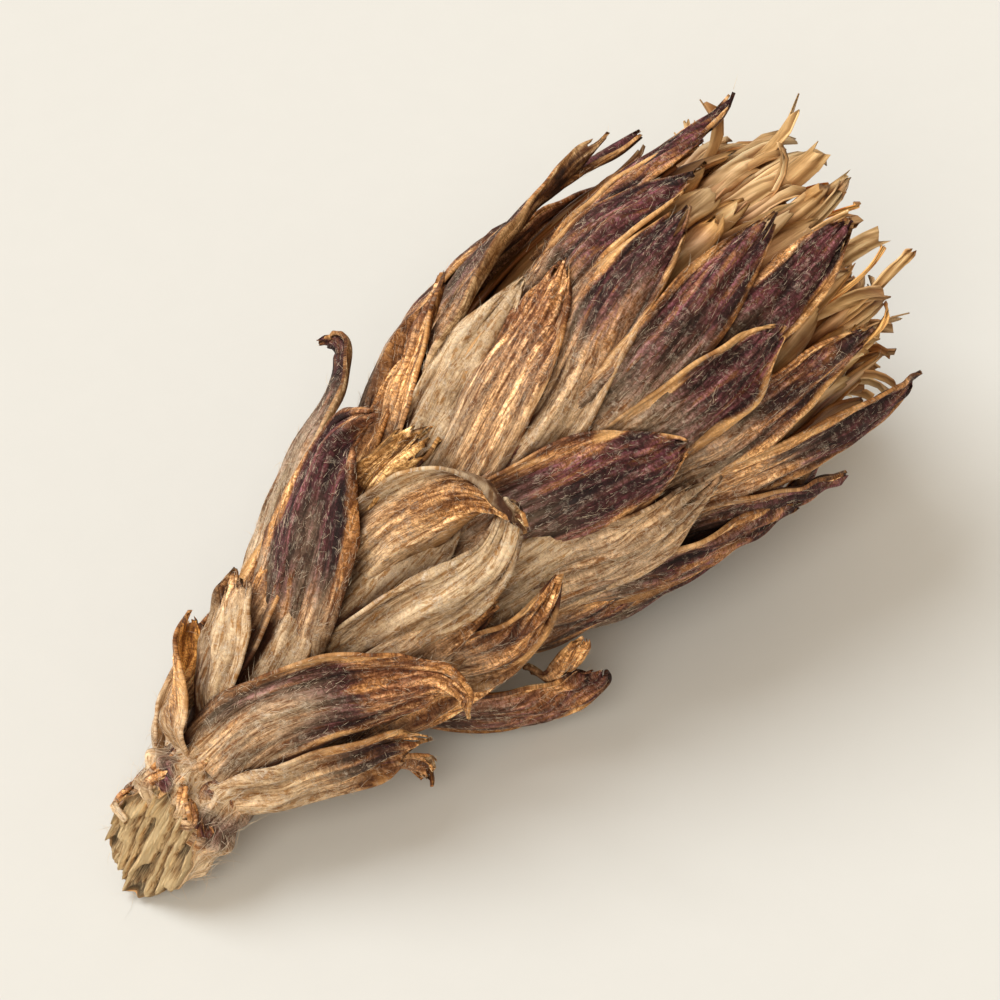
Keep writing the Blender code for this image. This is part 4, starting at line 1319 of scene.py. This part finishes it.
def floret_piece(name, straps, replaced):
    """One object for many straps."""
    form = bmesh.new()
    for strap in straps:
        points, tint, grain = strap_points(strap)
        add_sheet(form, points, tint, grain, strap.seed)
        STRAP_SHEETS.append(points)
    print(name, "straps:", len(straps))
    STRAP_OBJECTS.append(finish_piece(name, form, (PAPERY_STRAP,), replaced, STRAP_THICKNESS))


# %% [markdown]
# The ray florets stand in three rings. How far their tips reach past the mouth changes round the
# head: they stick out most on the upper side, and are short and worn at both edges.

# %% Ray florets
FLORET_SEED = 8
RAY_ROWS = (  # straps, radius at the root and at the mouth, shortest and longest tip
    (66, 2.95, 3.5, 21.9, 23.1),
    (62, 2.6, 3.25, 22.5, 23.7),
    (48, 2.1, 2.8, 22.0, 23.4),
)
REACH_BEARINGS = (-180, -120, -85, -57, -30, -8, 12, 33, 50, 65, 85, 120, 180)
REACH_PAST = (-0.1, -0.2, -0.5, -0.5, 0.3, 0.6, 0.5, 0.2, -0.1, -0.3, -0.4, -0.3, -0.1)
draw = Random(FLORET_SEED)
straps = []
for count, root, rim, shortest, longest in RAY_ROWS:
    for number in range(count):
        b = 360 * number / count + draw.uniform(-6, 6)
        lean = draw.uniform(-14, 14)
        past = np.interp((b + 180) % 360 - 180, REACH_BEARINGS, REACH_PAST)
        tip = draw.uniform(shortest, longest) + past
        spread = rim + draw.uniform(-0.5, 0.25)
        route = [(16.0, b, root - 0.4), (18.4, b, root), (20.6, b + lean * 0.5, rim - 0.1),
                 (tip, b + lean, spread)]
        curl = draw.choice((-1, -1, 1)) * draw.uniform(20, 130)
        straps.append(Strap(
            route, half_width=draw.uniform(0.15, 0.38), cup=draw.uniform(0.5, 1.2),
            twist=draw.uniform(-32, 32), curl=curl, curl_from=draw.uniform(0.66, 0.9),
            seed=draw.randrange(1000), flush=draw.uniform(0, 0.5), gold=draw.uniform(0, 0.7),
            brown=draw.uniform(0.0, 0.8)))
floret_piece("ray_straps", straps, "ray_florets")

# %% Disc florets
DISC_ROWS = (  # straps, radius, shortest and longest tip
    (30, 1.8, 20.8, 22.2),
    (24, 1.3, 20.8, 22.0),
    (16, 0.8, 20.6, 21.8),
    (9, 0.35, 20.6, 21.6),
)
straps = []
for count, root, shortest, longest in DISC_ROWS:
    for number in range(count):
        b = 360 * number / count + draw.uniform(-9, 9)
        tip = draw.uniform(shortest, longest)
        route = [(16.5, b, root * 0.8), (19.0, b, root),
                 (tip, b + draw.uniform(-14, 14), root + draw.uniform(-0.2, 0.5))]
        straps.append(Strap(
            route, half_width=draw.uniform(0.14, 0.22), cup=1.5, twist=draw.uniform(-60, 60),
            curl=draw.uniform(-110, 110), curl_from=draw.uniform(0.75, 0.9),
            seed=draw.randrange(1000), flush=0.0, gold=draw.uniform(0.4, 1), brown=1.0))
floret_piece("disc_straps", straps, "disc_florets")

# %% [markdown]
# Some ray florets have shrivelled to brown threads that loop out at the side of the mouth.

# %% Looped threads
LOOPS = (
    Strap([(19.0, 60, 3.0), (21.2, 58, 3.6), (22.4, 53, 4.0), (22.7, 46, 3.8)], 0.06, 1.0, 20,
          -120, 0.6, 61, 0, 0.9, 1.0),
    Strap([(18.5, 84, 3.2), (20.4, 80, 3.8), (21.6, 74, 4.2), (22.3, 66, 3.9)], 0.06, 1.0, 10,
          -110, 0.6, 62, 0, 0.9, 0.8),
    Strap([(19.0, 30, 2.6), (21.4, 28, 3.0), (22.8, 34, 3.2), (23.1, 42, 3.0)], 0.07, 1.0, -30,
          -100, 0.6, 63, 0, 1, 1.0),
    Strap([(19.0, 14, 2.4), (21.4, 12, 2.9), (22.6, 18, 3.1), (22.9, 26, 2.8)], 0.06, 1.0, -30,
          -140, 0.6, 64, 0, 1, 1.0),
    Strap([(19.0, 72, 3.0), (21.4, 70, 3.4), (23.0, 63, 3.6), (23.5, 60, 3.8)], 0.16, 0.6, 30, 60,
          0.8, 65, 0, 0.5, 0.6),
)
floret_piece("floret_loops", LOOPS, None)
mark_hollows(STRAP_OBJECTS, search_tree(STRAP_SHEETS + [points for points, _ in ALL_SHEETS]))
print("floret pieces with hollows:", len(STRAP_OBJECTS))

# %% [markdown]
# ## Cores
#
# The cup that the head's leaves grow from, and the cores under the florets, are turned from the
# same outlines as the solids, so nothing can be looked through from behind.

# %% Cup and floret cores
CORE_ROWS = 40
CORE_COLUMNS = 61
CORE_UNEVENNESS = 0.04
CUP_OUTLINE = [(6.1, 0.0), (6.1, 0.95), (7.3, 1.5), (9.0, 2.3), (11.0, 2.85), (12.6, 3.1), (14.0, 3.1),
               (14.6, 2.4), (14.6, 0.0)]
FLORET_CORE_OUTLINE = [(14.3, 0.0), (14.4, 2.4), (16.5, 2.35), (18.2, 1.9), (19.2, 1.1), (19.6, 0.0)]
WOOLLY_TINT = (0.2, 0.7, 0.0, 0.3)
WITHERED_TINT = (0.0, 0.0, 1.0, 0.8)


def core_piece(name, outline, seed, material, tint_here, replaced):
    """A body turned from stations and radii, with one tint all over."""
    rows = np.linspace(0, 1, CORE_ROWS)[:, None]
    profile = through([(s, r, 0) for s, r in outline], rows[:, 0])
    bearing = np.linspace(0, 360, CORE_COLUMNS)[None, :]
    uneven = 1 + CORE_UNEVENNESS * waves(np.cos(np.radians(bearing)) * 2, rows * 6, seed)
    radius = profile[:, 1:2].clip(0) * uneven
    points = on_bud(profile[:, 0:1] + 0 * bearing, bearing + 0 * rows, radius)
    points[:, -1] = points[:, 0]
    tint = np.broadcast_to(np.array(tint_here, float), radius.shape + (4,))
    across = radius * np.radians(bearing)
    grain = np.stack(np.broadcast_arrays(across, profile[:, 0:1], seed + 0 * radius), -1)
    form = bmesh.new()
    add_sheet(form, points, tint, grain)
    close_up(form)
    print(name, "faces:", len(form.faces))
    finish_piece(name, form, (material,), replaced)


core_piece("head_cup", CUP_OUTLINE, 31, LEAF_OUTSIDE, WOOLLY_TINT, "involucre")
core_piece("floret_core", FLORET_CORE_OUTLINE, 32, PAPERY_STRAP, WITHERED_TINT, "disc_florets")

# %% [markdown]
# ## Hairs
#
# Real hairs are thinner than a pixel, but without them a leaf looks waxed. Each hair here is a
# tapered three-sided strand of a few faces. It is made once with a cone, cut in three along its
# length, and then copied to thousands of places with a bend of its own. Only places that no other
# leaf covers get one.


# %% One strand, made once
def strand_template(cuts):
    """Corners and faces of a strand of length and radius 1, cut at these heights."""
    form = bmesh.new()
    bmesh.ops.create_cone(form, cap_ends=True, segments=3, radius1=1.0, radius2=0.0, depth=1.0)
    bmesh.ops.translate(form, verts=form.verts, vec=(0, 0, 0.5))
    for height in cuts:
        geometry = list(form.verts) + list(form.edges) + list(form.faces)
        bmesh.ops.bisect_plane(form, geom=geometry, plane_co=(0, 0, height), plane_no=(0, 0, 1))
    bmesh.ops.triangulate(form, faces=form.faces)
    form.verts.index_update()
    corners = np.array([vert.co for vert in form.verts])
    faces = np.array([[vert.index for vert in face.verts] for face in form.faces])
    form.free()
    return corners, faces


SHORT_STRAND = strand_template((0.5,))
LONG_STRAND = strand_template((0.3, 0.65))
print("faces of a strand:", len(SHORT_STRAND[1]), "and", len(LONG_STRAND[1]))

# %% Hair material
DUSTY_HAIR = (0.30, 0.21, 0.13, 1)


def pale_hair():
    """Cream hairs, some of them dusty and some golden."""
    material, tree, shader = new_material("pale_hair", 0.6)
    light, golden, _, _ = tint_zones(tree)
    colour = blend_colours(tree, light, DUSTY_HAIR, HAIR)
    tree.links.new(blend_colours(tree, golden, colour, PALE_GOLD), shader.inputs["Base Color"])
    return material


HAIR_MATERIAL = pale_hair()
print("material:", HAIR_MATERIAL.name)

# %% Strands on their roots
LOWEST_HAIR = 0.02


def strewn(name, template, roots, ahead, up, length, radius, drift, tint):
    """Copies a strand to every root. Drift bends each one sideways and down; all are arrays in mm."""
    corners, faces = template
    count = len(roots)
    h = corners[None, :, 2, None]
    side = np.cross(ahead, up)
    middle = roots[:, None] + length[:, None, None] * h * ahead[:, None] + drift[:, None] * h**2
    ring = corners[None, :, 0, None] * side[:, None] + corners[None, :, 1, None] * up[:, None]
    places = middle + ring * radius[:, None, None]
    places[..., 2] = places[..., 2].clip(LOWEST_HAIR)
    mesh = bpy.data.meshes.new(name)
    mesh.vertices.add(count * len(corners))
    mesh.vertices.foreach_set("co", (places * MM).astype(np.float32).ravel())
    index = (faces[None] + np.arange(count)[:, None, None] * len(corners)).astype(np.int32).ravel()
    mesh.loops.add(len(index))
    mesh.loops.foreach_set("vertex_index", index)
    mesh.polygons.add(len(index) // 3)
    mesh.polygons.foreach_set("loop_start", np.arange(0, len(index), 3, dtype=np.int32))
    mesh.update(calc_edges=True)
    layer = mesh.attributes.new("tint", "FLOAT_COLOR", "POINT")
    layer.data.foreach_set("color", np.repeat(tint, len(corners), axis=0).astype(np.float32).ravel())
    mesh.materials.append(HAIR_MATERIAL)
    mesh.shade_smooth()
    seat(place_object(name, mesh), None)


# %% [markdown]
# Roots are drawn at random over each sheet, in proportion to its area and its wool, so the fuzz is
# dense at the base of a leaf and thin on its purple tip. A short ray outwards tells whether another
# leaf lies on the place.

# %% Where hairs grow
COVER_REACH = 1.6
COVER_START = 0.06


def grow(points, tint, rng, thin, thick):
    """Random uncovered roots on one sheet: places, directions along and outwards, and tints.
    Thin is the hairs to the square millimetre without wool, and thick what full wool adds."""
    along = np.gradient(points, axis=0)
    across = np.gradient(points, axis=1)
    normal = np.cross(across, along)
    area = np.linalg.norm(normal, axis=-1)
    wanted = area * (thin + thick * tint[..., 1])
    total = int(wanted.sum())
    pick = rng.choice(wanted.size, size=total, p=(wanted / wanted.sum()).ravel())
    row, column = np.divmod(pick, points.shape[1])
    step_a, step_b = rng.uniform(-0.5, 0.5, (2, total, 1))
    place = points[row, column] + step_a * along[row, column] + step_b * across[row, column]
    out = unit(normal[row, column])
    starts = [Vector(p + COVER_START * n) for p, n in zip(place, out)]
    hits = [COVER.ray_cast(start, Vector(n), COVER_REACH)[0] for start, n in zip(starts, out)]
    seen = np.array([hit is None for hit in hits], bool)
    return place[seen], unit(along[row, column])[seen], out[seen], tint[row, column][seen]


# %% [markdown]
# Four kinds of hair grow on the bud: long tangled wool on the collar, single long hairs on every
# leaf, and a short fuzz that is denser on the stalk's leaves than on the head's. Long hairs near
# the sides of the bud stay short enough to keep within its width.

# %% Wool, hairs and fuzz
HAIR_SEED = 21
LIFT = 0.48
HAIR_REACH = 5.28
SIDEWAYS_SHARE = 0.8
SHORTEST_HAIR = 0.05
HAIR_DROOP = 0.8
HAIR_ROOT = 0.45
HAIR_LIGHT = (0.7, 1.0)
GOLDEN_SHARE = 0.25


def hair_piece(name, template, sheets, density, lengths, radii, spread, waviness, seed):
    """Hairs on these sheets. Spread turns them off the grain, and waviness bends them sideways."""
    rng = np.random.default_rng(seed)
    grown = [grow(points, tint, rng, *density) for points, tint in sheets]
    place, along, out, tint = (np.concatenate(parts) for parts in zip(*grown))
    count = len(place)
    turn = rng.normal(0, spread, count)[:, None]
    lift = rng.uniform(0.0, LIFT, count)[:, None]
    ahead = along * np.cos(turn) + np.cross(out, along) * np.sin(turn)
    ahead = unit(ahead + lift * out)
    root = place + out * LEAF_THICKNESS * HAIR_ROOT
    room = (HAIR_REACH - np.abs(root[:, 1])) / SIDEWAYS_SHARE
    length = np.minimum(rng.uniform(*lengths, count), room.clip(SHORTEST_HAIR))
    sideways = np.cross(out, ahead) * rng.normal(0, waviness, count)[:, None]
    drift = (sideways - out * lift * HAIR_DROOP) * length[:, None]
    light = rng.uniform(*HAIR_LIGHT, count)
    shade = np.stack([light, GOLDEN_SHARE * (1 - tint[:, 1]), np.zeros(count), np.ones(count)], -1)
    radius = rng.uniform(*radii, count)
    strewn(name, template, root, ahead, out, length, radius, drift, shade)
    print(name, "strands:", count, "triangles:", count * len(template[1]))


stalk_sheets = ALL_SHEETS[:STALK_SHEETS]
head_sheets = ALL_SHEETS[STALK_SHEETS:HEAD_SHEETS]
hair_piece("collar_wool", LONG_STRAND, [COLLAR_SHEET], (10, 25), (0.3, 0.9), (0.004, 0.007),
           1.2, 0.9, HAIR_SEED + 3)
hair_piece("leaf_hairs", LONG_STRAND, ALL_SHEETS, (2, 7), (0.3, 0.55), (0.004, 0.007),
           0.6, 0.5, HAIR_SEED)
hair_piece("stalk_fuzz", SHORT_STRAND, stalk_sheets, (35, 45), (0.1, 0.26), (0.0035, 0.007),
           0.5, 0.5, HAIR_SEED + 1)
hair_piece("head_fuzz", SHORT_STRAND, head_sheets, (36, 40), (0.1, 0.26), (0.003, 0.0055),
           0.4, 0.35, HAIR_SEED + 2)
